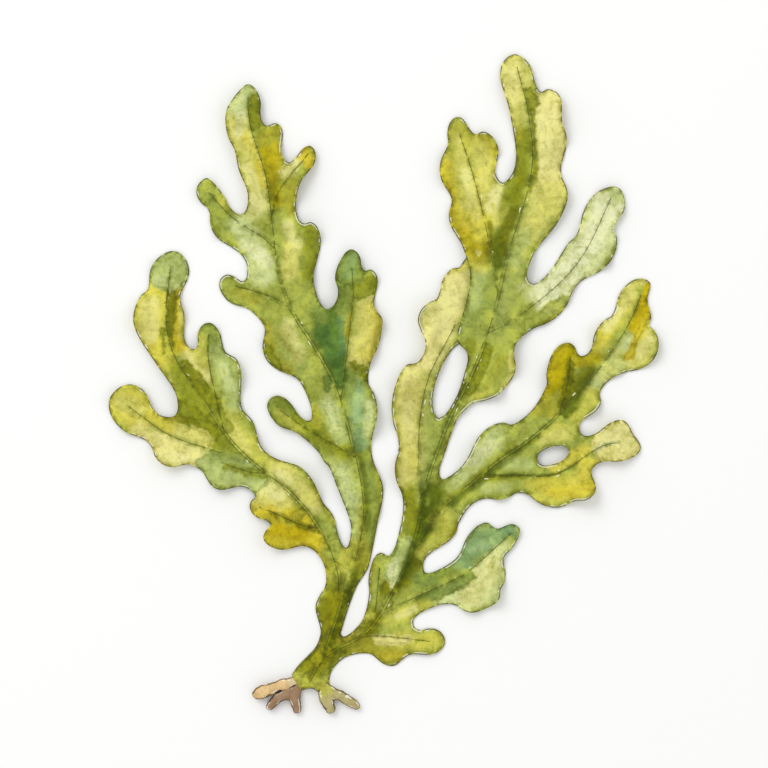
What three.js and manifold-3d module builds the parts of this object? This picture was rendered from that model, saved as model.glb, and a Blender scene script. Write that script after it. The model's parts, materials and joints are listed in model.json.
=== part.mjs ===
// A lobed wrack seaweed, picked whole and laid flat: a clawed holdfast, a short stipe and forking blades.
// Millimetres, +Z up off the surface it lies on, +Y from the holdfast towards the tips.
import * as THREE from "three";
import { mergeVertices } from "three/addons/utils/BufferGeometryUtils.js";
import Module from "manifold-3d";

// Driving dimensions
const BLADE_THICKNESS = 1.4;
const CUT_WIDTH = 0.3; // gap between neighbouring pieces at a fork
const SPAN = { x: 264, y: 316 }; // sheet from which the blades are cut
const SHEET_CELLS = { x: 19, y: 23 };
const TALL = 60; // height of a cutting prism, well over the plant's own
const PROBE_WIDTH = 0.5;

// How the plant lies: flat about its main fork, its ribs in low arches and its margins ruffled
const MAIN_FORK = new THREE.Vector2(-12, -112);
const FLAT_RADIUS = 20;
const LOOSE_RADIUS = 62;
const ARCH = { height: 2.4, x: 27, y: 31, shiftX: 0.9, shiftY: 0.4 };
const RUFFLE = { height: 4.4, x: 5.6, y: 6.2, swayX: 8, swayY: 9 };
const RESTING_HEIGHT = 0.9;
const RIB_REACH = 1.5; // a rib stiffens the blade this far to each side
const WING_REACH = 13; // and past this the margin ruffles freely

// The inner blade slips under the tall right frond along this line
const OVERLAP = new THREE.Line3(new THREE.Vector3(38, 20, 0), new THREE.Vector3(39.5, 55, 0));
const OVERLAP_CORE = 8;
const OVERLAP_FADE = 18;
const OVERLAP_RISE = 3;

// The plant's margin, clockwise from the left of the stipe, a lobe or a bay at a time
const MARGIN = {
  stipeLeft: [[-40.6, -136.5], [-42, -133.6], [-39.6, -129.2], [-31.5, -120.6]],
  leftStemOuter: [[-29.5, -116.5], [-28.9, -112.5], [-31.2, -102], [-29.8, -97.5], [-27, -93], [-26.3, -88],
    [-27.2, -83], [-29.4, -78.8], [-32.6, -75.6]],
  lowerAmberLobe: [[-36.6, -74], [-46, -75.7], [-50.4, -74.6], [-53.8, -72.2], [-54.8, -69.6],
    [-53.6, -66.8], [-51.6, -64.4]],
  upperAmberLobe: [[-53.6, -62.4], [-57, -61.3], [-60, -59], [-61.2, -56], [-60.4, -53.4], [-58.6, -51.8]],
  tealLobe: [[-59.2, -50], [-61.6, -48], [-65.6, -47], [-74.6, -48.4], [-78.6, -46.4]],
  paleLobe: [[-83, -40], [-86, -37.8], [-89.2, -36.9], [-96.6, -38], [-100.6, -36.6], [-103.6, -33.8]],
  farLeftSideTip: [[-106.6, -27.8], [-109.6, -25.4], [-117, -22.4], [-121, -19.4], [-124, -15.4],
    [-125.3, -11], [-124.8, -7], [-122.6, -3.6], [-119.4, -1.2], [-115.4, -0.4], [-111.6, -1.6],
    [-108.6, -4.2], [-105.2, -11.2]],
  farLeftBay: [[-102.8, -14], [-99, -15.2], [-95.6, -14.8], [-94, -12.4]],
  farLeftOuter: [[-94.6, -5], [-103, 8], [-109.8, 18], [-112.2, 22.6], [-113.6, 27], [-113.8, 31.6],
    [-112.8, 36], [-110.6, 40.2], [-107.7, 42.8]],
  farLeftTip: [[-106.6, 51], [-104.8, 55], [-101.4, 58.4], [-97.4, 60.3], [-93.6, 59.8], [-91, 57.4],
    [-89.4, 54.4], [-88.8, 51], [-89.6, 47.4]],
  farLeftInner: [[-92.8, 39.6], [-90.8, 31], [-91, 21], [-90, 17.8], [-87.6, 15.8], [-85.6, 15.8]],
  innerTip: [[-84.6, 18], [-84.9, 21.4], [-84.2, 24.6], [-82, 27.1], [-79, 27.6], [-76.4, 25.6],
    [-74.6, 22.4], [-72.4, 14.6]],
  farLeftInnerWing: [[-67.4, 11.4], [-65.5, 8], [-64.8, 3.4], [-65.3, -7], [-64.6, -11.4], [-59.6, -17.6],
    [-57.2, -25.6], [-55.4, -29.4], [-52, -32.6], [-47.6, -34.8]],
  farLeftLowWing: [[-39.4, -37.3], [-35.2, -40.4], [-31.8, -45], [-27.6, -54.4], [-24.2, -58.6],
    [-22.2, -62.6], [-21.4, -67]],
  leftFork: [[-18.5, -74.2], [-17.2, -74.9], [-16.2, -73.6]],
  tallLeftOuter: [[-15, -66], [-15.8, -61.6], [-21.6, -46.6], [-25, -38], [-27.4, -35.4], [-29.6, -31.6],
    [-39.6, -22.6]],
  lowBlade: [[-47.6, -19.4], [-50.6, -16.4], [-52.6, -13], [-53.2, -9.6], [-51.7, -6.8], [-48.8, -5.5],
    [-45.6, -6.4], [-42.6, -9], [-38, -15.2], [-35, -17], [-33.2, -16.4]],
  tallLeftWaist: [[-32.9, -13], [-33.8, -9], [-37.6, -0.4], [-40, 2.5], [-48, 6], [-51.6, 8.5], [-54.2, 12],
    [-55.3, 16.6], [-54.3, 24.6], [-55.8, 28], [-62, 34]],
  tallLeftLobe: [[-70, 36.8], [-73.2, 40], [-75, 44], [-74.5, 47.5], [-72, 49.5], [-69, 49.1],
    [-64.5, 46.5]],
  tallLeftShoulder: [[-62.8, 48], [-62.2, 51.6], [-62.8, 55], [-65, 58.6], [-68.6, 61.5], [-75.6, 66],
    [-78.2, 69.6], [-79.3, 73.6], [-79.4, 77.4]],
  upperBlade: [[-80.6, 80], [-83.2, 82.2], [-85.2, 85.6], [-85.3, 89], [-83.4, 92], [-80.6, 93.5],
    [-78, 91.8], [-72.3, 84.4], [-70.8, 81.2], [-68.4, 78.4], [-65.6, 77], [-63.5, 78]],
  tallLeftTipOuter: [[-62.2, 80.6], [-61.8, 84.6], [-62.3, 88], [-66, 97], [-68.1, 106.6], [-70.5, 111],
    [-71.8, 116], [-72, 121], [-70.8, 126], [-65, 134], [-61.8, 136.2]],
  tallLeftTipInner: [[-59, 134.6], [-57, 131.4], [-56, 127.4], [-56.2, 123], [-55.5, 119.4], [-53.5, 117.3],
    [-49.5, 118.6], [-47.3, 117.4], [-46.2, 114.4], [-46.7, 105.6], [-45.4, 102.2], [-43.3, 100.4]],
  amberFinger: [[-41, 102], [-36.5, 107.4], [-33.8, 108.2], [-31.8, 106.6], [-31, 103], [-32, 99.4],
    [-37.8, 91.4], [-40.1, 81], [-39.5, 76.6], [-38, 73.6]],
  tallLeftInner: [[-36, 72.6], [-33.5, 73.3], [-31, 72], [-29.2, 68.5], [-28.8, 64], [-31.9, 50],
    [-31.8, 45], [-28.6, 36], [-26, 33.8]],
  greenTips: [[-23.5, 35], [-21.4, 38.5], [-21, 43], [-22.2, 47], [-21.8, 51.5], [-17.8, 59.3], [-15, 61],
    [-12.4, 59.8], [-10.7, 57], [-10.2, 53.5], [-8.5, 51.3], [-6.3, 51.9], [-4, 50.4], [-2.8, 47]],
  tallLeftRightWing: [[-4.4, 35.2], [-0.8, 29.4], [-0.8, 25], [-3.2, 15.4], [-5.5, 11], [-6.9, 6],
    [-7.2, 1.4], [-6.7, -1]],
  tallLeftStalk: [[-4.8, -4], [-3.3, -9], [-3, -14.5], [-5.5, -25.5], [-5.8, -30.5], [-4.8, -35.5],
    [-0.8, -45.5], [-0.4, -51], [-2.8, -63], [-6, -79]],
  leftStemInner: [[-7.5, -84.5], [-12.6, -93], [-18.7, -110.4]],
  mainFork: [[-19.6, -114.4], [-18.4, -115.4], [-16, -114.4], [-12.6, -111.4]],
  rightStemInner: [[-9.6, -107.4], [-6.9, -97], [-7, -88.5]],
  bud: [[-5, -80.6], [-3.4, -78.2], [-1.3, -77.1], [2, -78.6]],
  trunkOuter: [[3.8, -76.8], [5.5, -73], [8.3, -61], [8.8, -55], [8, -50], [6, -45.5], [4.9, -40.5],
    [5.3, -35.5], [6.8, -31.5]],
  trunkTop: [[8.8, -29.8], [21, -28.6], [23.2, -26]],
  gapRightSide: [[25, -16], [27.6, -14.4], [33, -6], [37, 6], [38.1, 11], [37.4, 14.8], [34.7, 17.4]],
  overInnerBlade: [[33.3, 20.5], [37.6, 38], [39.2, 49.5]],
  tallRightOuter: [[35.4, 63], [30.3, 72], [29.5, 77], [30.8, 84], [26.2, 92.4], [25.3, 97], [26, 102]],
  leftBladeTips: [[29.1, 109], [28.9, 114], [29.8, 118.4], [32.4, 121.2], [35.5, 120.8], [39.8, 114.9],
    [42, 113.5], [44.5, 114.6], [47.8, 113.6], [50.7, 110.4], [52.2, 105.5], [50.6, 96.5], [52, 93]],
  tallRightBay: [[54.1, 91.4], [56.5, 93], [58.8, 96.5], [60, 101.5], [60, 107], [57, 124.5]],
  tallRightTip: [[53, 138.5], [53.3, 144], [55.6, 148], [59.5, 150], [63.3, 148.4], [66.5, 144.8],
    [69.3, 135.6], [71.5, 132.8], [74.6, 134.2], [78.4, 132.8], [80.5, 129]],
  tallRightInner: [[81, 118], [82.5, 114.5], [83.3, 109.5], [80.6, 98], [81, 94], [82.8, 89.5], [83.4, 84],
    [81.5, 78], [78.2, 72], [69.5, 61], [66.6, 55.5]],
  paleBay: [[65.1, 50.5], [65.5, 47], [67.5, 45.3], [70, 46], [73.5, 48.8]],
  paleBladeOuter: [[77, 53], [84, 64], [87, 66.8], [89, 71], [90.6, 77.5], [93.6, 83.5], [97.8, 87.6],
    [105, 89.7], [108, 88]],
  paleBladeInner: [[109.6, 84], [109.4, 79], [104.8, 70.6], [106, 66.5], [105.8, 61], [103, 55.5],
    [98.5, 51.2], [93, 48.6], [88.6, 45.5], [85.6, 41], [83.2, 35.5], [79.5, 31], [74, 27.3], [68.5, 25.2]],
  tallRightLowLobe: [[61.5, 20], [59.4, 16.5], [59.1, 12.5], [60, 8], [59, 3.5], [56, -1], [51.5, -5.4],
    [46, -7.8], [40.6, -9], [36.6, -12.4], [33.6, -16]],
  rightBay: [[28, -31], [25.2, -40.6], [26.6, -43.6], [30.4, -42], [34.5, -38.6]],
  farRightOuter: [[37.6, -34.5], [42.6, -25], [46.5, -21], [50.6, -18.6], [54.5, -17.8], [58, -18.7],
    [62, -16.8], [66, -13.6], [69.5, -9.5], [73.9, -0.5]],
  ochreLobe: [[73.8, 4], [74.9, 9], [76.9, 13.8], [80, 17.4], [83.8, 18.6], [86.7, 17], [88.1, 13.8],
    [90, 12.5]],
  farRightTip: [[92.6, 13.4], [94.7, 16.6], [95.3, 21], [97.3, 25.5], [100.5, 28.9], [103.4, 30.6],
    [105.2, 33.6], [106.4, 38.5], [109.2, 43.4], [113.5, 47], [118, 47.8], [121.2, 45.8], [120.1, 38],
    [121.7, 30], [120.9, 26.7]],
  farRightInner: [[123.2, 24], [124.8, 19], [124, 13.5], [121, 9], [116.5, 6.5], [110.5, 5.2], [105, 3],
    [100.6, -0.5], [98.3, -4.5]],
  farRightLowLobe: [[98.8, -8.5], [96.5, -12.4], [89.8, -17.6], [88.9, -21], [90.4, -23.4]],
  pinkishTip: [[93.6, -23.7], [97.5, -22], [101, -19], [105.5, -16.8], [109.4, -17], [112, -20],
    [113.4, -23], [115.8, -26], [117.1, -29], [115.4, -32.2], [111.5, -34.3], [106, -35.6], [100.6, -35.4],
    [96.6, -37]],
  goldenLobes: [[94.4, -40], [96.3, -47], [95.2, -50.4], [91.5, -52.9], [87, -53.4], [81, -56.3],
    [76, -56.3], [71, -54.7]],
  farRightUnderside: [[65, -50.4], [60.5, -50], [56.5, -52], [52, -53], [47, -52.4], [42.6, -53.5],
    [38.6, -56.5], [33.9, -64], [33, -67.6], [30, -71.4], [21.6, -77]],
  lowRightBay: [[18.9, -79.6], [17.9, -83], [18.4, -85.8], [20.6, -86.4], [30, -82]],
  lowRightOuter: [[33.8, -78.6], [37.6, -70.5], [40.6, -66.6], [44, -64.1], [47, -63.4], [51.4, -66.1],
    [58, -64], [61.2, -65.2], [61.9, -68], [60.3, -72]],
  lowRightInner: [[58, -75.5], [55, -78.5], [54.4, -81.5], [55.4, -86], [54.9, -90.5], [53.1, -93.5],
    [52.5, -97.4], [50, -100.5], [41, -104.2], [36.6, -103.4], [33, -101.2], [30, -100.5]],
  lowBay: [[25, -101], [16, -105], [13.4, -108], [13.7, -110.9]],
  smallBlade: [[16.5, -112.4], [21, -111.6], [25, -112.6], [27.4, -115.5], [27.7, -118.5], [25.7, -121.6],
    [21.5, -123.4], [11.6, -123.7], [4.5, -128.6], [0, -127.9], [-6, -123.4]],
  stipeRight: [[-10, -123], [-14.5, -123.7], [-18.5, -125.3], [-21.6, -128], [-24, -131.5], [-25, -135.5]],
  stipeFoot: [[-24.4, -139.2], [-27.6, -141.6], [-33, -139], [-38.8, -139.8]],
};

// The small window in the far right frond
const WINDOW = [[69.8, -33.8], [70.6, -36.3], [73, -37.3], [76.4, -36.9], [80, -35.7], [82.8, -33.6],
  [84.2, -31], [82.8, -28.9], [79.5, -28.4], [76, -28.9], [72.6, -30.4], [70.4, -32]];

// The inner blade: outer margin, the end hidden under the tall right frond, and its base in the trunk
const INNER_BLADE = [[6.8, -33], [6.8, -28], [6, -23.5], [4.3, -18.5], [3.5, -12.5], [3.9, -6],
  [5.3, -0.5], [7.6, 5], [10.6, 8.6], [14.8, 9.4], [17, 11.6], [18.7, 15.5], [18.7, 19.5], [17, 23.5],
  [15.4, 28.6], [16.8, 33.4], [20.5, 36.8], [24, 38.6], [25.4, 42], [26.4, 46.4], [28.8, 50.4],
  [31.5, 52.5], [34.4, 52.9], [36.2, 55.6], [38.4, 57.8], [41, 55], [42.8, 49], [42.6, 41], [41, 33],
  [38.6, 25], [35.6, 19.4], [31.6, 16], [29, 12.5], [26.6, 8.4], [24.5, 3.5], [22.9, -2], [22.1, -8],
  [22.8, -13], [24.4, -16.6], [24, -22], [23, -29], [22, -34], [14, -35]];

// Midribs, base to tip. Half width and half height run from the base's value to the tip's.
const STIPE_RIB = { wide: [5.6, 3.6], high: [2.8, 2.1] };
const STEM_RIB = { wide: [3.2, 2.2], high: [2, 1.5] };
const FROND_RIB = { wide: [2.1, 0.9], high: [1.35, 0.75] };
const SIDE_RIB = { wide: [1.4, 0.8], high: [1.05, 0.75] };
const RIBS = [
  { ...STIPE_RIB, route: [[-34, -136.4], [-31, -131], [-27.5, -124.5], [-25, -118]] },
  { ...STEM_RIB,
    route: [[-27.5, -124.5], [-24.4, -115], [-21.4, -106], [-18.6, -97], [-15.6, -88], [-12.6, -79]] },
  { ...STEM_RIB,
    route: [[-27.5, -124.5], [-21, -120.6], [-13, -116.6], [-6.6, -111.6], [-1.6, -105], [3, -97],
      [7, -89], [10.4, -81]] },
  { ...FROND_RIB,
    route: [[-12.6, -79], [-10.6, -70], [-9.4, -61], [-9.8, -51], [-11.2, -41], [-14, -29], [-17.6, -15],
      [-21.6, -2], [-26.6, 8], [-33, 19], [-39.6, 29], [-44.4, 39], [-47.6, 49], [-49.4, 60], [-50.8, 72],
      [-52.2, 84], [-54, 95], [-57, 105], [-60, 114], [-61.6, 123], [-61.8, 130]] },
  { ...FROND_RIB,
    route: [[-20.6, -96], [-21, -87], [-23.6, -78], [-28, -68.6], [-33.4, -60], [-39.6, -52.6],
      [-46.6, -46], [-54.6, -40], [-62.4, -33.6], [-69.4, -26.4], [-75.6, -18], [-81.4, -9.4],
      [-87.4, -0.6], [-93, 8], [-97, 16.6], [-99, 26], [-99.2, 36], [-98, 46], [-97, 53]] },
  { ...FROND_RIB,
    route: [[10.4, -81], [13.6, -72], [16, -63], [17.8, -53], [20, -43.6], [23.2, -34], [27, -23.6],
      [31.4, -13], [36, -3.6], [40.4, 5], [44.4, 14.6], [48, 25.4], [51.8, 38.6], [54.8, 52], [58, 64],
      [62, 76], [65.4, 88], [67.4, 99], [67.6, 108], [66.4, 118], [64.8, 128], [62.4, 137],
      [60.6, 144]] },
  { ...FROND_RIB,
    route: [[11.4, -79], [17.6, -69], [24, -59.6], [31, -52.4], [38.4, -46.8], [45.6, -40.6],
      [52.8, -34.8], [60.6, -29.6], [68.6, -23.8], [76.4, -17], [84, -9], [92, -0.6], [99, 8],
      [105, 16.4], [110, 24.4], [113.8, 32], [117, 40]] },
  { ...SIDE_RIB,
    route: [[-74, -31.6], [-82, -29], [-91.6, -26], [-100.6, -21.8], [-108.6, -16.2], [-116, -10.6]] },
  { ...SIDE_RIB, route: [[-49.6, 61], [-55, 66.4], [-62, 70.6], [-69, 75.6], [-75.4, 82], [-80.4, 88]] },
  { ...SIDE_RIB, route: [[-42, 34], [-50, 39], [-59, 42], [-68, 44.4]] },
  { ...SIDE_RIB,
    route: [[-12.6, -34], [-20, -29.4], [-28.6, -24.6], [-37, -19.4], [-44, -14.6], [-48.8, -10.8]] },
  { ...SIDE_RIB, route: [[-19.6, -8], [-18, 4], [-16.6, 16], [-15.2, 28], [-14, 40], [-14.6, 52]] },
  { ...SIDE_RIB,
    route: [[52.4, 42], [50, 51], [48.4, 60], [46.6, 70], [44.4, 80], [41.6, 91], [38.4, 102],
      [34.6, 113]] },
  { ...SIDE_RIB,
    route: [[47, 22.6], [53, 25.6], [61, 30.4], [69, 36.4], [77, 43], [85, 51], [91.6, 60], [96.4, 69],
      [100.4, 78], [103.4, 84.6]] },
  { ...SIDE_RIB,
    route: [[44, -42.4], [52, -42], [61, -41.6], [70, -42.2], [78, -41.2], [85.4, -37.6], [92, -32.8],
      [99, -28.6], [107, -26.6]] },
  { ...SIDE_RIB,
    route: [[-1, -104.4], [8, -100.2], [18, -95.8], [28, -91.2], [37, -86.6], [45, -80], [52, -73.6],
      [57.4, -68.6]] },
];
const INNER_RIB = { ...SIDE_RIB,
  route: [[16.4, -50], [16, -40], [15.8, -29], [16.2, -18], [17.8, -7], [20.4, 3], [24.4, 11.6], [29, 20],
    [32.6, 27]] };
const RIB_STEP = 20; // millimetres between two rings of a rib
const RIB_SIDES = 4;
const SUNK = 0.05; // rods lie this much over the underside, so that their own undersides are inside the blade

// Holdfast claws, one or two fingers each
const CLAW_SIDES = 8;
const CLAW_STEP = 4.4;
const TIP = { from: 0.72, blunt: 0.35 }; // where a claw starts to round off, and how wide its end stays
const CLAWS = [
  { wide: [3.3, 2.7], high: [3, 2.6],
    route: [[-38.4, -134.6], [-45, -136.6], [-51, -138.6], [-58.6, -142.4]] },
  { wide: [2.9, 2.2], high: [2.8, 2.2],
    route: [[-38.6, -137.4], [-43, -140.6], [-47.4, -143.6], [-52.4, -148]] },
  { wide: [2.9, 2.3], high: [2.8, 2.2],
    route: [[-39.4, -138.4], [-39.9, -142], [-39.8, -146], [-38.8, -150.4]] },
  { wide: [3.3, 2.6], high: [2.8, 2.3],
    route: [[-27.6, -136.6], [-26.4, -140], [-25.4, -144.4], [-24.2, -149.6]] },
  { wide: [2.9, 2.1], high: [2.6, 2.1],
    route: [[-26.4, -138.6], [-22.4, -141.2], [-18, -143.8], [-11.8, -147.2]] },
];

// Where the plant is parted at its forks: the two ends of each cut
const CUTS = [
  [[-43.6, -132.6], [-40.6, -138.4]], [[-41.4, -137.4], [-37, -141.4]], [[-40.6, -137.4], [-57, -146.2]],
  [[-31.4, -141.8], [-22, -137.2]],
  [[-31, -118.4], [-19, -115]], [[-19.4, -114.4], [-16, -125.4]],
  [[-29.6, -80], [-17, -74.6]], [[-17.2, -74.4], [-4, -75.6]],
  [[-94.6, -12.6], [-84, -39.4]], [[-87.4, 16.6], [-63.6, 1]],
  [[-65, 78.2], [-72.6, 62.4]], [[-32.8, -15.6], [-38.4, -25.4]], [[-26, 35.6], [-1.6, 36.2]],
  [[1.6, -78.2], [19, -84]], [[18.6, -84.8], [13, -109.6]], [[14.4, -108.6], [-7, -124]],
  [[5, -31], [30, -31]], [[23.2, -32], [25.2, -14.8]],
  [[26, -42.4], [34.6, -65.4]], [[71.6, -33.4], [66, -54]], [[82.4, -31.2], [91.6, -22.4]],
  [[54.6, 92.4], [29.6, 83.8]], [[67.6, 46.4], [64.8, 21.6]],
];

// The named pieces, a spot on each, and its finish
const GREENS = {
  olive: 0x8e9438, leaf: 0xa3a850, moss: 0x6f8a3c, straw: 0xc9c465, teal: 0x86a878, amber: 0xc9b32e,
};
const ROOTS = { tan: 0xd8b27c, umber: 0x8d6f5b, drab: 0xb3a578 };
const PIECES = [
  { name: "stipe", spot: [-33, -130], colour: GREENS.olive },
  { name: "left_stem", spot: [-24, -100], colour: GREENS.olive },
  { name: "right_stem", spot: [-3, -100], colour: GREENS.olive },
  { name: "right_trunk", spot: [12, -60], colour: GREENS.moss },
  { name: "far_left_frond", spot: [-60, -30], colour: GREENS.leaf },
  { name: "far_left_side_blade", spot: [-112, -12], colour: GREENS.straw },
  { name: "far_left_inner_tip", spot: [-79, 18], colour: GREENS.teal },
  { name: "tall_left_frond", spot: [-50, 50], colour: GREENS.leaf },
  { name: "tall_left_upper_blade", spot: [-78, 80], colour: GREENS.leaf },
  { name: "tall_left_low_blade", spot: [-48, -12], colour: GREENS.moss },
  { name: "tall_left_twin_tip", spot: [-14, 48], colour: GREENS.moss },
  { name: "tall_right_frond", spot: [52, 40], colour: GREENS.leaf },
  { name: "tall_right_left_tip", spot: [36, 105], colour: GREENS.straw },
  { name: "pale_side_blade", spot: [90, 60], colour: GREENS.teal },
  { name: "inner_blade", spot: [14, 0], colour: GREENS.straw },
  { name: "far_right_frond", spot: [60, -28], colour: GREENS.leaf },
  { name: "far_right_side_blade", spot: [82, -48], colour: GREENS.amber },
  { name: "low_right_frond", spot: [44, -90], colour: GREENS.teal },
  { name: "small_low_blade", spot: [18, -118], colour: GREENS.straw },
  { name: "upper_root_claw", spot: [-50, -138.6], colour: ROOTS.tan },
  { name: "lower_root_claw", spot: [-40, -143], colour: ROOTS.umber },
  { name: "right_root_claw", spot: [-25.4, -144], colour: ROOTS.drab },
];
const BLADE_ROUGHNESS = 0.5;
const CRUMB = 2; // cubic millimetres: what is smaller is waste from a cut
const SAME_PLACE = 1e-4;

const wasm = await Module();
wasm.setup();

function solidOf(geometry) {
  const bare = new THREE.BufferGeometry().setAttribute("position", geometry.getAttribute("position"));
  bare.setIndex(geometry.index);
  const merged = mergeVertices(bare, SAME_PLACE);
  return new wasm.Manifold(new wasm.Mesh({
    numProp: 3,
    vertProperties: new Float32Array(merged.attributes.position.array),
    triVerts: new Uint32Array(merged.index.array),
  }));
}

function geometryOf(solid) {
  const { vertProperties, triVerts } = solid.getMesh();
  const geometry = new THREE.BufferGeometry();
  geometry.setAttribute("position", new THREE.BufferAttribute(vertProperties, 3));
  geometry.setIndex(new THREE.BufferAttribute(triVerts, 1));
  geometry.computeVertexNormals();
  return geometry;
}

const smooth = THREE.MathUtils.smoothstep;

function distanceToRoute(x, y, route) {
  let nearest = Infinity;
  for (let i = 1; i < route.length; i += 1) {
    const [ax, ay] = route[i - 1];
    const [bx, by] = route[i];
    const along = ((x - ax) * (bx - ax) + (y - ay) * (by - ay)) / ((bx - ax) ** 2 + (by - ay) ** 2);
    const t = THREE.MathUtils.clamp(along, 0, 1);
    nearest = Math.min(nearest, Math.hypot(x - ax - t * (bx - ax), y - ay - t * (by - ay)));
  }
  return nearest;
}

// Height of the underside over the surface, before the overlap of the inner blade
function looseHeight(x, y) {
  const fromRib = Math.min(...[...RIBS, INNER_RIB].map(({ route }) => distanceToRoute(x, y, route)));
  const wing = smooth(fromRib, RIB_REACH, WING_REACH);
  const arch = ARCH.height * Math.sin(x / ARCH.x + ARCH.shiftX) * Math.sin(y / ARCH.y + ARCH.shiftY);
  const ruffleX = Math.sin(x / RUFFLE.x + Math.sin(y / RUFFLE.swayY));
  const ruffleY = Math.cos(y / RUFFLE.y + Math.sin(x / RUFFLE.swayX));
  const ruffle = 1 + RUFFLE.height * ruffleX * ruffleY;
  const free = smooth(Math.hypot(x - MAIN_FORK.x, y - MAIN_FORK.y), FLAT_RADIUS, LOOSE_RADIUS);
  return free * Math.max(0, RESTING_HEIGHT + arch + wing * ruffle);
}

function nearOverlap(x, y) {
  const spot = new THREE.Vector3(x, y, 0);
  const nearest = OVERLAP.closestPointToPoint(spot, true, new THREE.Vector3());
  return 1 - smooth(nearest.distanceTo(spot), OVERLAP_CORE, OVERLAP_FADE);
}

const upperHeight = (x, y) => Math.max(looseHeight(x, y), OVERLAP_RISE * nearOverlap(x, y));
const lowerHeight = (x, y) => looseHeight(x, y) * (1 - nearOverlap(x, y));

const outline = (points) => points.map(([x, y]) => new THREE.Vector2(x, y));

// A sheet of blade thickness whose underside is at the given height, cut to an outline
function bladeSheet(margin, windows, height) {
  const shape = new THREE.Shape(outline(margin));
  shape.holes = windows.map((window) => new THREE.Path(outline(window)));
  const cutter = new THREE.ExtrudeGeometry(shape, { depth: TALL, bevelEnabled: false });
  cutter.translate(0, 0, -TALL / 2);
  const sheet = new THREE.BoxGeometry(SPAN.x, SPAN.y, 1, SHEET_CELLS.x, SHEET_CELLS.y, 1);
  const position = sheet.getAttribute("position");
  for (let i = 0; i < position.count; i += 1) {
    const onTop = position.getZ(i) > 0;
    position.setZ(i, height(position.getX(i), position.getY(i)) + (onTop ? BLADE_THICKNESS : 0));
  }
  return solidOf(sheet).intersect(solidOf(cutter));
}

// A tapered rod of oval section that lies on the blade's underside level, along a route
function rod({ route, wide, high }, height, sides, step, blunt) {
  const stops = route.map(([x, y]) => new THREE.Vector3(x, y, 0));
  const curve = new THREE.CatmullRomCurve3(stops, false, "centripetal");
  const rings = Math.max(3, Math.round(curve.getLength() / step));
  const geometry = new THREE.CylinderGeometry(1, 1, 1, sides, rings);
  const position = geometry.getAttribute("position");
  for (let i = 0; i < position.count; i += 1) {
    const t = position.getY(i) + 0.5;
    const centre = curve.getPointAt(t);
    const tangent = curve.getTangentAt(t);
    const pastTip = Math.max(0, (t - TIP.from) / (1 - TIP.from));
    const rounding = blunt ? Math.max(TIP.blunt, Math.sqrt(1 - pastTip ** 2)) : 1;
    const halfWidth = THREE.MathUtils.lerp(wide[0], wide[1], t) * rounding;
    const halfHeight = THREE.MathUtils.lerp(high[0], high[1], t) * rounding;
    const side = position.getX(i) * halfWidth;
    const middle = height(centre.x, centre.y) + THREE.MathUtils.lerp(high[0], high[1], t) + SUNK;
    const top = middle + position.getZ(i) * halfHeight;
    position.setXYZ(i, centre.x + tangent.y * side, centre.y - tangent.x * side, top);
  }
  return solidOf(geometry);
}

// A thin upright wall between two points
function cutWall([[ax, ay], [bx, by]]) {
  const wall = new THREE.BoxGeometry(Math.hypot(bx - ax, by - ay), CUT_WIDTH, TALL);
  wall.rotateZ(Math.atan2(by - ay, bx - ax)).translate((ax + bx) / 2, (ay + by) / 2, 0);
  return solidOf(wall);
}

function wholePlant() {
  let upper = bladeSheet(Object.values(MARGIN).flat(), [WINDOW], upperHeight);
  for (const rib of RIBS) upper = upper.add(rod(rib, upperHeight, RIB_SIDES, RIB_STEP, false));
  for (const claw of CLAWS) upper = upper.add(rod(claw, () => 0, CLAW_SIDES, CLAW_STEP, true));
  const lower = bladeSheet(INNER_BLADE, [], lowerHeight);
  return upper.add(lower).add(rod(INNER_RIB, lowerHeight, RIB_SIDES, RIB_STEP, false));
}

function partAtForks(plant) {
  let parted = plant;
  for (const cut of CUTS) parted = parted.subtract(cutWall(cut));
  return parted.decompose().filter((piece) => piece.volume() > CRUMB);
}

function holdsSpot(piece, [x, y]) {
  const probe = new THREE.BoxGeometry(PROBE_WIDTH, PROBE_WIDTH, TALL).translate(x, y, 0);
  return piece.intersect(solidOf(probe)).volume() > 0;
}

const plant = new THREE.Group();
const parted = partAtForks(wholePlant());
for (const { name, spot, colour } of PIECES) {
  const piece = parted.find((candidate) => holdsSpot(candidate, spot));
  const material = new THREE.MeshStandardMaterial({ color: colour, roughness: BLADE_ROUGHNESS, metalness: 0 });
  const mesh = new THREE.Mesh(geometryOf(piece), material);
  mesh.name = name;
  plant.add(mesh);
}

// The origin is under the middle of the whole plant
const bounds = new THREE.Box3().setFromObject(plant);
const middle = bounds.getCenter(new THREE.Vector3());
plant.position.set(-middle.x, -middle.y, -bounds.min.z);

export default plant;
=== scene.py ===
import json
import math

import bpy
import numpy as np
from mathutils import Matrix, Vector, noise
from mathutils.geometry import delaunay_2d_cdt

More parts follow.
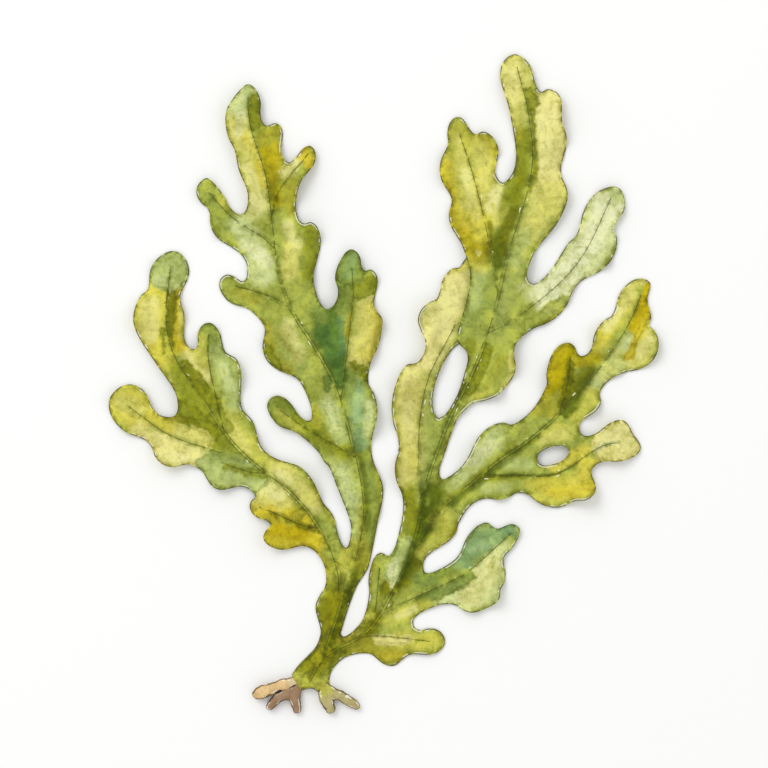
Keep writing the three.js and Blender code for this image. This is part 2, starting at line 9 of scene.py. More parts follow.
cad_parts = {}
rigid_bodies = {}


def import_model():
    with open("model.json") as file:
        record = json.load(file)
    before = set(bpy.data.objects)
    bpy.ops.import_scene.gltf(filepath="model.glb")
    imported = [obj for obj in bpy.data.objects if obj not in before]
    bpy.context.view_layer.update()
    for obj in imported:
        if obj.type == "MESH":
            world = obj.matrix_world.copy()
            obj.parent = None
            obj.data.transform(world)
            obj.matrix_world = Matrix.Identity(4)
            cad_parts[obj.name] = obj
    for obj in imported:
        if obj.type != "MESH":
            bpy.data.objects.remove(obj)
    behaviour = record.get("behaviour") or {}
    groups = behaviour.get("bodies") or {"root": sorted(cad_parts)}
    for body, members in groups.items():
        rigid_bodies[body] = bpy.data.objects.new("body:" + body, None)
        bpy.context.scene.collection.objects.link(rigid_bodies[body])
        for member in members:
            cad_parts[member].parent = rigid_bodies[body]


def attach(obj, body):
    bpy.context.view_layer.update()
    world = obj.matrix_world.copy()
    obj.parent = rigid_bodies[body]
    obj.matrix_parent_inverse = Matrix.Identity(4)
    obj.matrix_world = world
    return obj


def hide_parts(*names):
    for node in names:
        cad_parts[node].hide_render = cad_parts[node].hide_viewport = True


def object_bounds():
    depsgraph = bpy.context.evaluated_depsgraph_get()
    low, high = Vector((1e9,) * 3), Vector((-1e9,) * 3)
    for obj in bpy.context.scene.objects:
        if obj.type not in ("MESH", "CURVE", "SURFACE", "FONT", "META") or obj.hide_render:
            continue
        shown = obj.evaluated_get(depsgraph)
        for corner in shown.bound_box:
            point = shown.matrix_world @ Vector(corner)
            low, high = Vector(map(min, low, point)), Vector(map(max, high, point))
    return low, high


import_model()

cad_low, cad_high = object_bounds()

# The drawing. Its points are in millimetres, x to the right and y up, with (0, 0) near the middle of the
# picture. The plant's margin is one closed line, clockwise from the left of the stalk, and is given a
# lobe or a bay at a time.
MARGIN = dict(
    stipe_left=[[-40.6, -136.5], [-42, -133.6], [-39.6, -129.2], [-31.5, -120.6]],
    left_stem_outer=[[-29.5, -116.5], [-28.9, -112.5], [-31.2, -102], [-29.8, -97.5], [-27, -93],
        [-26.3, -88], [-27.2, -83], [-29.4, -78.8], [-32.6, -75.6]],
    lower_amber_lobe=[[-36.6, -74], [-46, -75.7], [-50.4, -74.6], [-53.8, -72.2], [-54.8, -69.6],
        [-53.6, -66.8], [-51.6, -64.4]],
    upper_amber_lobe=[[-53.6, -62.4], [-57, -61.3], [-60, -59], [-61.2, -56], [-60.4, -53.4],
        [-58.6, -51.8]],
    teal_lobe=[[-59.2, -50], [-61.6, -48], [-65.6, -47], [-74.6, -48.4], [-78.6, -46.4]],
    pale_lobe=[[-83, -40], [-86, -37.8], [-89.2, -36.9], [-96.6, -38], [-100.6, -36.6], [-103.6, -33.8]],
    far_left_side_tip=[[-106.6, -27.8], [-109.6, -25.4], [-117, -22.4], [-121, -19.4], [-124, -15.4],
        [-125.3, -11], [-124.8, -7], [-122.6, -3.6], [-119.4, -1.2], [-115.4, -0.4], [-111.6, -1.6],
        [-108.6, -4.2], [-105.2, -11.2]],
    far_left_bay=[[-102.8, -14], [-99, -15.2], [-95.6, -14.8], [-94, -12.4]],
    far_left_outer=[[-94.6, -5], [-103, 8], [-109.8, 18], [-112.2, 22.6], [-113.6, 27], [-113.8, 31.6],
        [-112.8, 36], [-110.6, 40.2], [-107.7, 42.8]],
    far_left_tip=[[-106.6, 51], [-104.8, 55], [-101.4, 58.4], [-97.4, 60.3], [-93.6, 59.8], [-91, 57.4],
        [-89.4, 54.4], [-88.8, 51], [-89.6, 47.4]],
    far_left_inner=[[-92.8, 39.6], [-90.8, 31], [-91, 21], [-90, 17.8], [-87.6, 15.8], [-85.6, 15.8]],
    inner_tip=[[-84.6, 18], [-84.9, 21.4], [-84.2, 24.6], [-82, 27.1], [-79, 27.6], [-76.4, 25.6],
        [-74.6, 22.4], [-72.4, 14.6]],
    far_left_inner_wing=[[-67.4, 11.4], [-65.5, 8], [-64.8, 3.4], [-65.3, -7], [-64.6, -11.4],
        [-59.6, -17.6], [-57.2, -25.6], [-55.4, -29.4], [-52, -32.6], [-47.6, -34.8]],
    far_left_low_wing=[[-39.4, -37.3], [-35.2, -40.4], [-31.8, -45], [-27.6, -54.4], [-24.2, -58.6],
        [-22.2, -62.6], [-21.4, -67]],
    left_fork=[[-18.5, -74.2], [-17.2, -74.9], [-16.2, -73.6]],
    tall_left_outer=[[-15, -66], [-15.8, -61.6], [-21.6, -46.6], [-25, -38], [-27.4, -35.4],
        [-29.6, -31.6], [-39.6, -22.6]],
    low_blade=[[-47.6, -19.4], [-50.6, -16.4], [-52.6, -13], [-53.2, -9.6], [-51.7, -6.8], [-48.8, -5.5],
        [-45.6, -6.4], [-42.6, -9], [-38, -15.2], [-35, -17], [-33.2, -16.4]],
    tall_left_waist=[[-32.9, -13], [-33.8, -9], [-37.6, -0.4], [-40, 2.5], [-48, 6], [-51.6, 8.5],
        [-54.2, 12], [-55.3, 16.6], [-54.3, 24.6], [-55.8, 28], [-62, 34]],
    tall_left_lobe=[[-70, 36.8], [-73.2, 40], [-75, 44], [-74.5, 47.5], [-72, 49.5], [-69, 49.1],
        [-64.5, 46.5]],
    tall_left_shoulder=[[-62.8, 48], [-62.2, 51.6], [-62.8, 55], [-65, 58.6], [-68.6, 61.5], [-75.6, 66],
        [-78.2, 69.6], [-79.3, 73.6], [-79.4, 77.4]],
    upper_blade=[[-80.6, 80], [-83.2, 82.2], [-85.2, 85.6], [-85.3, 89], [-83.4, 92], [-80.6, 93.5],
        [-78, 91.8], [-72.3, 84.4], [-70.8, 81.2], [-68.4, 78.4], [-65.6, 77], [-63.5, 78]],
    tall_left_tip_outer=[[-62.2, 80.6], [-61.8, 84.6], [-62.3, 88], [-66, 97], [-68.1, 106.6],
        [-70.5, 111], [-71.8, 116], [-72, 121], [-70.8, 126], [-65, 134], [-61.8, 136.2]],
    tall_left_tip_inner=[[-59, 134.6], [-57, 131.4], [-56, 127.4], [-56.2, 123], [-55.5, 119.4],
        [-53.5, 117.3], [-49.5, 118.6], [-47.3, 117.4], [-46.2, 114.4], [-46.7, 105.6], [-45.4, 102.2],
        [-43.3, 100.4]],
    amber_finger=[[-41, 102], [-36.5, 107.4], [-33.8, 108.2], [-31.8, 106.6], [-31, 103], [-32, 99.4],
        [-37.8, 91.4], [-40.1, 81], [-39.5, 76.6], [-38, 73.6]],
    tall_left_inner=[[-36, 72.6], [-33.5, 73.3], [-31, 72], [-29.2, 68.5], [-28.8, 64], [-31.9, 50],
        [-31.8, 45], [-28.6, 36], [-26, 33.8]],
    green_tips=[[-23.5, 35], [-21.4, 38.5], [-21, 43], [-22.2, 47], [-21.8, 51.5], [-17.8, 59.3],
        [-15, 61], [-12.4, 59.8], [-10.7, 57], [-10.2, 53.5], [-8.5, 51.3], [-6.3, 51.9], [-4, 50.4],
        [-2.8, 47]],
    tall_left_right_wing=[[-4.4, 35.2], [-0.8, 29.4], [-0.8, 25], [-3.2, 15.4], [-5.5, 11], [-6.9, 6],
        [-7.2, 1.4], [-6.7, -1]],
    tall_left_stalk=[[-4.8, -4], [-3.3, -9], [-3, -14.5], [-5.5, -25.5], [-5.8, -30.5], [-4.8, -35.5],
        [-0.8, -45.5], [-0.4, -51], [-2.8, -63], [-6, -79]],
    left_stem_inner=[[-7.5, -84.5], [-12.6, -93], [-18.7, -110.4]],
    main_fork=[[-19.6, -114.4], [-18.4, -115.4], [-16, -114.4], [-12.6, -111.4]],
    right_stem_inner=[[-9.6, -107.4], [-6.9, -97], [-7, -88.5]],
    bud=[[-5, -80.6], [-3.4, -78.2], [-1.3, -77.1], [2, -78.6]],
    trunk_outer=[[3.8, -76.8], [5.5, -73], [8.3, -61], [8.8, -55], [8, -50], [6, -45.5], [4.9, -40.5],
        [5.3, -35.5], [6.8, -31.5]],
    trunk_top=[[8.8, -29.8], [21, -28.6], [23.2, -26]],
    gap_right_side=[[25, -16], [27.6, -14.4], [33, -6], [37, 6], [38.1, 11], [37.4, 14.8], [34.7, 17.4]],
    over_inner_blade=[[33.3, 20.5], [37.6, 38], [39.2, 49.5]],
    tall_right_outer=[[35.4, 63], [30.3, 72], [29.5, 77], [30.8, 84], [26.2, 92.4], [25.3, 97],
        [26, 102]],
    left_blade_tips=[[29.1, 109], [28.9, 114], [29.8, 118.4], [32.4, 121.2], [35.5, 120.8], [39.8, 114.9],
        [42, 113.5], [44.5, 114.6], [47.8, 113.6], [50.7, 110.4], [52.2, 105.5], [50.6, 96.5], [52, 93]],
    tall_right_bay=[[54.1, 91.4], [56.5, 93], [58.8, 96.5], [60, 101.5], [60, 107], [57, 124.5]],
    tall_right_tip=[[53, 138.5], [53.3, 144], [55.6, 148], [59.5, 150], [63.3, 148.4], [66.5, 144.8],
        [69.3, 135.6], [71.5, 132.8], [74.6, 134.2], [78.4, 132.8], [80.5, 129]],
    tall_right_inner=[[81, 118], [82.5, 114.5], [83.3, 109.5], [80.6, 98], [81, 94], [82.8, 89.5],
        [83.4, 84], [81.5, 78], [78.2, 72], [69.5, 61], [66.6, 55.5]],
    pale_bay=[[65.1, 50.5], [65.5, 47], [67.5, 45.3], [70, 46], [73.5, 48.8]],
    pale_blade_outer=[[77, 53], [84, 64], [87, 66.8], [89, 71], [90.6, 77.5], [93.6, 83.5], [97.8, 87.6],
        [105, 89.7], [108, 88]],
    pale_blade_inner=[[109.6, 84], [109.4, 79], [104.8, 70.6], [106, 66.5], [105.8, 61], [103, 55.5],
        [98.5, 51.2], [93, 48.6], [88.6, 45.5], [85.6, 41], [83.2, 35.5], [79.5, 31], [74, 27.3],
        [68.5, 25.2]],
    tall_right_low_lobe=[[61.5, 20], [59.4, 16.5], [59.1, 12.5], [60, 8], [59, 3.5], [56, -1],
        [51.5, -5.4], [46, -7.8], [40.6, -9], [36.6, -12.4], [33.6, -16]],
    right_bay=[[28, -31], [25.2, -40.6], [26.6, -43.6], [30.4, -42], [34.5, -38.6]],
    far_right_outer=[[37.6, -34.5], [42.6, -25], [46.5, -21], [50.6, -18.6], [54.5, -17.8], [58, -18.7],
        [62, -16.8], [66, -13.6], [69.5, -9.5], [73.9, -0.5]],
    ochre_lobe=[[73.8, 4], [74.9, 9], [76.9, 13.8], [80, 17.4], [83.8, 18.6], [86.7, 17], [88.1, 13.8],
        [90, 12.5]],
    far_right_tip=[[92.6, 13.4], [94.7, 16.6], [95.3, 21], [97.3, 25.5], [100.5, 28.9], [103.4, 30.6],
        [105.2, 33.6], [106.4, 38.5], [109.2, 43.4], [113.5, 47], [118, 47.8], [121.2, 45.8], [120.1, 38],
        [121.7, 30], [120.9, 26.7]],
    far_right_inner=[[123.2, 24], [124.8, 19], [124, 13.5], [121, 9], [116.5, 6.5], [110.5, 5.2],
        [105, 3], [100.6, -0.5], [98.3, -4.5]],
    far_right_low_lobe=[[98.8, -8.5], [96.5, -12.4], [89.8, -17.6], [88.9, -21], [90.4, -23.4]],
    pinkish_tip=[[93.6, -23.7], [97.5, -22], [101, -19], [105.5, -16.8], [109.4, -17], [112, -20],
        [113.4, -23], [115.8, -26], [117.1, -29], [115.4, -32.2], [111.5, -34.3], [106, -35.6],
        [100.6, -35.4], [96.6, -37]],
    golden_lobes=[[94.4, -40], [96.3, -47], [95.2, -50.4], [91.5, -52.9], [87, -53.4], [81, -56.3],
        [76, -56.3], [71, -54.7]],
    far_right_underside=[[65, -50.4], [60.5, -50], [56.5, -52], [52, -53], [47, -52.4], [42.6, -53.5],
        [38.6, -56.5], [33.9, -64], [33, -67.6], [30, -71.4], [21.6, -77]],
    low_right_bay=[[18.9, -79.6], [17.9, -83], [18.4, -85.8], [20.6, -86.4], [30, -82]],
    low_right_outer=[[33.8, -78.6], [37.6, -70.5], [40.6, -66.6], [44, -64.1], [47, -63.4], [51.4, -66.1],
        [58, -64], [61.2, -65.2], [61.9, -68], [60.3, -72]],
    low_right_inner=[[58, -75.5], [55, -78.5], [54.4, -81.5], [55.4, -86], [54.9, -90.5], [53.1, -93.5],
        [52.5, -97.4], [50, -100.5], [41, -104.2], [36.6, -103.4], [33, -101.2], [30, -100.5]],
    low_bay=[[25, -101], [16, -105], [13.4, -108], [13.7, -110.9]],
    small_blade=[[16.5, -112.4], [21, -111.6], [25, -112.6], [27.4, -115.5], [27.7, -118.5],
        [25.7, -121.6], [21.5, -123.4], [11.6, -123.7], [4.5, -128.6], [0, -127.9], [-6, -123.4]],
    stipe_right=[[-10, -123], [-14.5, -123.7], [-18.5, -125.3], [-21.6, -128], [-24, -131.5],
        [-25, -135.5]],
    stipe_foot=[[-24.4, -139.2], [-27.6, -141.6], [-33, -139], [-38.8, -139.8]],
)

# The small window in the far right branch
WINDOW = [[69.8, -33.8], [70.6, -36.3], [73, -37.3], [76.4, -36.9], [80, -35.7], [82.8, -33.6],
    [84.2, -31], [82.8, -28.9], [79.5, -28.4], [76, -28.9], [72.6, -30.4], [70.4, -32]]

# The inner blade: its outer margin, the end hidden under the tall right branch, and its base
INNER_BLADE = [[6.8, -33], [6.8, -28], [6, -23.5], [4.3, -18.5], [3.5, -12.5], [3.9, -6], [5.3, -0.5],
    [7.6, 5], [10.6, 8.6], [14.8, 9.4], [17, 11.6], [18.7, 15.5], [18.7, 19.5], [17, 23.5], [15.4, 28.6],
    [16.8, 33.4], [20.5, 36.8], [24, 38.6], [25.4, 42], [26.4, 46.4], [28.8, 50.4], [31.5, 52.5],
    [34.4, 52.9], [36.2, 55.6], [38.4, 57.8], [41, 55], [42.8, 49], [42.6, 41], [41, 33], [38.6, 25],
    [35.6, 19.4], [31.6, 16], [29, 12.5], [26.6, 8.4], [24.5, 3.5], [22.9, -2], [22.1, -8], [22.8, -13],
    [24.6, -15.8], [26.5, -18], [26.5, -30], [24, -34], [14, -35]]

# The ribs, each with its kind and its line from base to tip
RIBS = {
    "stalk": ("stipe", [[-34, -136.4], [-31, -131], [-27.5, -124.5], [-25, -118]]),
    "left_stem": ("stem", [[-27.5, -124.5], [-24.4, -115], [-21.4, -106], [-18.6, -97], [-15.6, -88],
        [-12.6, -79]]),
    "right_stem": ("stem", [[-27.5, -124.5], [-21, -120.6], [-13, -116.6], [-6.6, -111.6], [-1.6, -105],
        [3, -97], [7, -89], [10.4, -81]]),
    "tall_left": ("frond", [[-12.6, -79], [-10.6, -70], [-9.4, -61], [-9.8, -51], [-11.2, -41],
        [-14, -29], [-17.6, -15], [-21.6, -2], [-26.6, 8], [-33, 19], [-39.6, 29], [-44.4, 39],
        [-47.6, 49], [-49.4, 60], [-50.8, 72], [-52.2, 84], [-54, 95], [-57, 105], [-60, 114],
        [-61.6, 123], [-61.8, 130]]),
    "far_left": ("frond", [[-20.6, -96], [-21, -87], [-23.6, -78], [-28, -68.6], [-33.4, -60],
        [-39.6, -52.6], [-46.6, -46], [-54.6, -40], [-62.4, -33.6], [-69.4, -26.4], [-75.6, -18],
        [-81.4, -9.4], [-87.4, -0.6], [-93, 8], [-97, 16.6], [-99, 26], [-99.2, 36], [-98, 46],
        [-97, 53]]),
    "tall_right": ("frond", [[10.4, -81], [13.6, -72], [16, -63], [17.8, -53], [20, -43.6], [23.2, -34],
        [27, -23.6], [31.4, -13], [36, -3.6], [40.4, 5], [44.4, 14.6], [48, 25.4], [51.8, 38.6],
        [54.8, 52], [58, 64], [62, 76], [65.4, 88], [67.4, 99], [67.6, 108], [66.4, 118], [64.8, 128],
        [62.4, 137], [60.6, 144]]),
    "far_right": ("frond", [[11.4, -79], [17.6, -69], [24, -59.6], [31, -52.4], [38.4, -46.8],
        [45.6, -40.6], [52.8, -34.8], [60.6, -29.6], [68.6, -23.8], [76.4, -17], [84, -9], [92, -0.6],
        [99, 8], [105, 16.4], [110, 24.4], [113.8, 32], [117, 40]]),
    "far_left_side": ("side", [[-74, -31.6], [-82, -29], [-91.6, -26], [-100.6, -21.8], [-108.6, -16.2],
        [-116, -10.6]]),
    "upper_left_side": ("side", [[-49.6, 61], [-55, 66.4], [-62, 70.6], [-69, 75.6], [-75.4, 82],
        [-80.4, 88]]),
    "middle_left_side": ("side", [[-42, 34], [-50, 39], [-59, 42], [-68, 44.4]]),
    "low_left_side": ("side", [[-12.6, -34], [-20, -29.4], [-28.6, -24.6], [-37, -19.4], [-44, -14.6],
        [-48.8, -10.8]]),
    "twin": ("side", [[-19.6, -8], [-18, 4], [-16.6, 16], [-15.2, 28], [-14, 40], [-14.6, 52]]),
    "left_tip": ("side", [[52.4, 42], [50, 51], [48.4, 60], [46.6, 70], [44.4, 80], [41.6, 91],
        [38.4, 102], [34.6, 113]]),
    "pale_side": ("side", [[47, 22.6], [53, 25.6], [61, 30.4], [69, 36.4], [77, 43], [85, 51], [91.6, 60],
        [96.4, 69], [100.4, 78], [103.4, 84.6]]),
    "golden": ("side", [[44, -42.4], [52, -42], [61, -41.6], [70, -42.2], [78, -41.2], [85.4, -37.6],
        [92, -32.8], [99, -28.6], [107, -26.6]]),
    "low_right": ("side", [[-1, -104.4], [8, -100.2], [18, -95.8], [28, -91.2], [37, -86.6], [45, -80],
        [52, -73.6], [57.4, -68.6]]),
}
INNER_RIB = [[16.4, -50], [16, -40], [15.8, -29], [16.2, -18], [17.8, -7], [20.4, 3], [24.4, 11.6],
        [29, 20], [32.6, 27]]
# Ribs that are only fine lines, with no solid of their own
FINE_RIBS = {
    "inner_tip": [[-72.6, -22], [-75, -13], [-77, -4], [-79, 5], [-80, 14], [-79.8, 22]],
    "amber_lobes": [[-29.6, -66], [-36.6, -64.6], [-43.6, -61.6], [-50.6, -58.4], [-56.6, -56.4]],
    "amber_finger": [[-51, 76], [-48.6, 86], [-43.4, 93.6], [-38.4, 99.4], [-34.6, 104.4]],
    "ochre_lobe": [[80, -13], [82.6, -4], [84.4, 5], [84.8, 12]],
    "small_branch": [[-11, -115.4], [-3, -115], [5, -115.6], [13, -116.6], [21, -117.4]],
    "teal_lobe": [[-54, -41], [-62, -40], [-73.6, -36]],
    "bud": [[-4, -104], [-3, -95], [-2, -84]],
}
# The swelling at the foot of the stalk, over the roots of the claws
CROWN = [[-39, -134.4], [-36, -135.8], [-32, -136], [-28.8, -135.6]]

# The seam lines along which the plant's drawn outline is parted into its pieces
SEAMS = [
    [[-31, -118.4], [-19.2, -114.7]],
    [[-19.2, -114.7], [-16, -125.4]],
    [[-29.6, -80], [-17, -74.6]],
    [[-17.2, -74.4], [-4, -75.6]],
    [[1.6, -78.2], [19, -84]],
    [[19, -84.4], [14.4, -109.6]],
    [[14.4, -108.6], [-7, -124]],
    [[26, -42.4], [34.6, -65.4]],
    [[71.6, -33.4], [66, -54]],
    [[82.4, -31.2], [91.6, -22.4]],
]
INNER_SEAM = [[4.4, -31], [23.3, -31], [25.4, -14]]

# Each blade piece: a spot on it, the nodes that it stands for, and its finish
BLADE_PIECES = {
    "stalk": dict(spot=(-33, -130), slot="stalk", nodes=["stipe"]),
    "left_stalk": dict(spot=(-24, -100), slot="stalk", nodes=["left_stem"]),
    "right_stalk": dict(spot=(-3, -100), slot="stalk", nodes=["right_stem"]),
    "far_left_branch": dict(
        spot=(-60, -30), slot="blade", nodes=["far_left_frond", "far_left_side_blade", "far_left_inner_tip"]
    ),
    "tall_left_branch": dict(
        spot=(-50, 50),
        slot="blade",
        nodes=["tall_left_frond", "tall_left_upper_blade", "tall_left_low_blade", "tall_left_twin_tip"],
    ),
    "tall_right_branch": dict(
        spot=(52, 40),
        slot="blade",
        nodes=["right_trunk", "tall_right_frond", "tall_right_left_tip", "pale_side_blade"],
    ),
    "far_right_branch": dict(spot=(60, -28), slot="blade", nodes=["far_right_frond"]),
    "golden_branch": dict(spot=(82, -48), slot="golden_blade", nodes=["far_right_side_blade"]),
    "low_right_branch": dict(spot=(44, -90), slot="blade", nodes=["low_right_frond"]),
    "small_branch": dict(spot=(18, -118), slot="blade", nodes=["small_low_blade"]),
}
INNER_PIECES = {"inner_branch": dict(spot=(14, 0), slot="blade", nodes=["inner_blade"])}

# How the sheets of blade are modelled, in millimetres
SPACING = 0.82  # between neighbouring points of a sheet
LINE_CLEARANCE = 0.55  # the share of it that other points keep off a drawn line
SAME_POINT = 1e-4  # points nearer than this are one
WHOLE_HULL = 0  # the triangles are made out to the hull of the points, and those outside are dropped
MARGIN_STEP = 0.8
RIB_STEP = 1.4
BLADE_THICKNESS = 1.4
MARGIN_THICKNESS = 0.5
MARGIN_TAPER = 2.6  # how far in from the margin the blade reaches its thickness
RIB_MARGIN = 1.2  # how far in from the margin a rib reaches its height
RIB_SLOPE = (0.1, 1.35)  # where a rib's slope begins and ends, in its own half widths

# Where the inner blade grows on to the trunk, and how far up the two sheets' margins still meet
JOINT_LEFT = 5
JOINT_RIGHT = 27
TRUNK_LEFT = 7.3
SEAM_HEIGHT = -31
CLEFT_HEIGHT = -16.2
JOINT_REACH = -6

# How the plant lies, in millimetres: the same arches and ruffles as its solids have
MAIN_FORK = (-12, -112)
FLAT_RADIUS = 20
LOOSE_RADIUS = 62
ARCH = dict(height=2.4, x=27, y=31, shift_x=0.9, shift_y=0.4)
RUFFLE = dict(height=4.4, x=5.6, y=6.2, sway_x=8, sway_y=9)
RESTING_HEIGHT = 0.9
RIB_REACH = 1.5
WING_REACH = 13
OVERLAP = [[38, 20], [39.5, 55]]
OVERLAP_CORE = 8
OVERLAP_FADE = 18
OVERLAP_RISE = 3
# The small folds of the free blades, which are fullest along the margins
CRINKLE_NOISE = (0.75, 7.0, 1.3)  # height, size and seed
CRINKLE_FROM_RIB = (2, 9)  # where they begin and are full
CRINKLE_REACH = 7.0  # how far in from the margin they fade
CRINKLE_FADE = 0.7  # the share of them that fades
CRINKLE_LIFT = 0.3  # the share of their height by which they lift the blade
FLOOR_GAP = 0.02

# How the sheets are worked out
MM = 0.001
RUN = 50  # segments of a line that are measured at a time
WIDEST = 24.0  # distances over this, in mm, count as this
SETTLING = 0.35  # how softly the blade settles on the floor
RIM_FACING = 0.35  # faces turned more than this off the sheet's normal are its rim
RIB_SIZES = {  # half width and half height, each from base to tip
    "stipe": ([5.6, 3.6], [2.8, 2.1]),
    "stem": ([3.2, 2.2], [2.0, 1.5]),
    "frond": ([2.1, 0.9], [1.35, 0.75]),
    "side": ([1.4, 0.8], [1.05, 0.75]),
    "fine": ([0.9, 0.6], [0.85, 0.72]),
    "crown": ([3.2, 3.2], [2.5, 2.5]),
}
# Where the drawing's origin is in the part's frame, from the ends of its outline
LEFTMOST = -125.3
TOPMOST = 150
SHIFT = (cad_low.x / MM - LEFTMOST, cad_high.y / MM - TOPMOST)

# The holdfast's claws: the points of each toe, with its half width there
CLAWS = {
    "upper_claw": dict(
        slot="tan_claw",
        node="upper_root_claw",
        paint="tan",
        root_paint="cream",
        toes=[
            [(-36.5, -134.8, 1.8), (-41, -135.6, 2.1), (-44.6, -136.8, 2.9), (-49, -138, 2.7),
             (-53, -139.6, 3.3), (-57, -141, 3.1), (-59.6, -142, 1.9)],
        ],
    ),
    "lower_claw": dict(
        slot="brown_claw",
        node="lower_root_claw",
        paint="umber",
        root_paint="umber",
        toes=[
            [(-37.6, -137, 1.7), (-40.4, -139.4, 2.2), (-44.2, -141.2, 2.9), (-47.8, -142.8, 2.6),
             (-50.8, -145.8, 2.6), (-52.8, -148.4, 1.8)],
            [(-38.2, -137.4, 1.8), (-39.8, -140.4, 2.3), (-40.6, -143.6, 2.9), (-39.9, -147, 2.3),
             (-39.4, -150, 2.0)],
            [(-40, -139.6, 1.8), (-43, -142.2, 2.5), (-44.4, -143, 1.6)],
        ],
    ),
    "right_claw": dict(
        slot="drab_claw",
        node="right_root_claw",
        paint="drab",
        root_paint="lime",
        toes=[
            [(-28.6, -136.4, 2.0), (-27.4, -139.6, 2.6), (-26.6, -143, 3.5), (-25, -146.6, 3.0),
             (-24, -149.8, 2.0)],
            [(-27.4, -137.4, 1.9), (-24.4, -140.2, 2.6), (-20.6, -141.8, 2.9), (-16.8, -144, 2.3),
             (-14, -146, 2.5), (-11.4, -147.6, 1.6)],
            [(-26, -140.4, 2.2), (-23.6, -142.6, 2.2), (-22.6, -143.4, 1.4)],
        ],
    ),
}

# How the claws are modelled, in millimetres
CLAW_STEP = 1.5
CLAW_VOXEL = 0.35 * MM
CLAW_ROUNDING = 2
CLAW_SMOOTHING = 6
CLAW_FLATNESS = 0.86  # half height over half width
CLAW_SWELLINGS = 0.55  # how far the claws' sides wander
CLAW_SIDE_NOISE = ((1, 2.6, 6.4), (0.5, 1.2, 8.1))  # share, size and seed of each layer
CLAW_KNOBS = 0.14  # how much the claws' height varies
CLAW_KNOB_NOISE = (1, 3.0, 2.2)
CLAW_KNOBS_FROM = (4, 8)  # where the knobs begin and are full, from the root
CLAW_ROOT_HEIGHT = 0.82  # the share of its height that a claw has at its root
CLAW_ROOT_RISE = 0.18
CLAW_ROOT_FROM = (3, 9)
CLAW_FLOOR_GAP = 0.05 * MM


def linear(red, green, blue):
    """A colour as a screen shows it, from 0 to 255, as the amounts of light that a material needs."""
    shares = [value / 255 for value in (red, green, blue)]
    return tuple(s / 12.92 if s < 0.04045 else ((s + 0.055) / 1.055) ** 2.4 for s in shares)


# The paints, as they look on the page
PAINT = {
    "leaf": linear(160, 170, 74),
    "lime": linear(190, 190, 82),
    "khaki": linear(160, 156, 44),
    "olive": linear(132, 138, 22),
    "deep_olive": linear(112, 114, 0),
    "forest_olive": linear(84, 98, 0),
    "moss": linear(90, 120, 44),
    "forest": linear(62, 100, 44),
    "forest_teal": linear(80, 130, 90),
    "green": linear(124, 142, 62),
    "teal": linear(130, 160, 104),
    "teal_olive": linear(142, 156, 74),
    "blue_green": linear(160, 186, 130),
    "grey_green": linear(174, 188, 114),
    "pale_green": linear(200, 210, 146),
    "milk": linear(222, 226, 180),
    "straw": linear(228, 220, 142),
    "pale_lemon": linear(224, 220, 146),
    "lemon": linear(210, 206, 112),
    "wheat": linear(206, 200, 114),
    "sage": linear(148, 160, 84),
    "yellow": linear(210, 200, 78),
    "gold": linear(204, 186, 46),
    "amber": linear(190, 170, 8),
    "ochre": linear(164, 152, 4),
    "tan": linear(226, 194, 140),
    "cream": linear(232, 214, 178),
    "umber": linear(160, 132, 104),
    "drab": linear(186, 176, 122),
}

# What the finishes mix in, from the wash up to the line of the margin
TINT = {
    "light": linear(250, 246, 190),
    "deep": linear(196, 198, 130),
    "pooled": linear(176, 174, 84),
    "beside_rib": linear(150, 158, 70),
    # a painted highlight, for the glints beside the ribs
    "glint": linear(240, 238, 196),
    "rib_line": linear(62, 70, 10),
    "gap": linear(238, 238, 216),
    "margin_line": linear(64, 68, 26),
    "claw_pool": linear(214, 188, 152),
    "claw_grain": linear(190, 164, 130),
    "claw_gap": linear(246, 240, 222),
    "claw_side": linear(66, 50, 28),
}
SHEEN = 0.12  # how much of the usual gloss the finishes have

# How a stroke of the brush spreads, in millimetres
BROAD_NOISE = ((0.7, 8.0, 3.1), (0.45, 3.2, 7.7))  # share, size and seed of each layer
RAGGED_NOISE = ((1, 2.6, 5.5), (0.8, 1.3, 9.2))
BRUSH_MARGIN = 4  # how far past twice its half width a stroke is worked out
SOFT_WANDER = 0.42
SOFT_EDGE = (0.3, 1.05)  # where a soft stroke begins to fade and ends, in its own half widths
CRISP_WANDER = 1.1
CRISP_EDGE = (-0.3, 0.7)  # where a crisp stroke begins to fade and ends
RIM_INSET = 0.7  # how far inside that edge the dark rim has dried
RIM_WIDTH = 0.8
RIB_STOP = (-0.5, 0.5)  # where a stroke that stops at a rib begins and is full


def beside(side, strokes):
    """Strokes that all stop at one side of a rib."""
    return [(*stroke, side) for stroke in strokes]


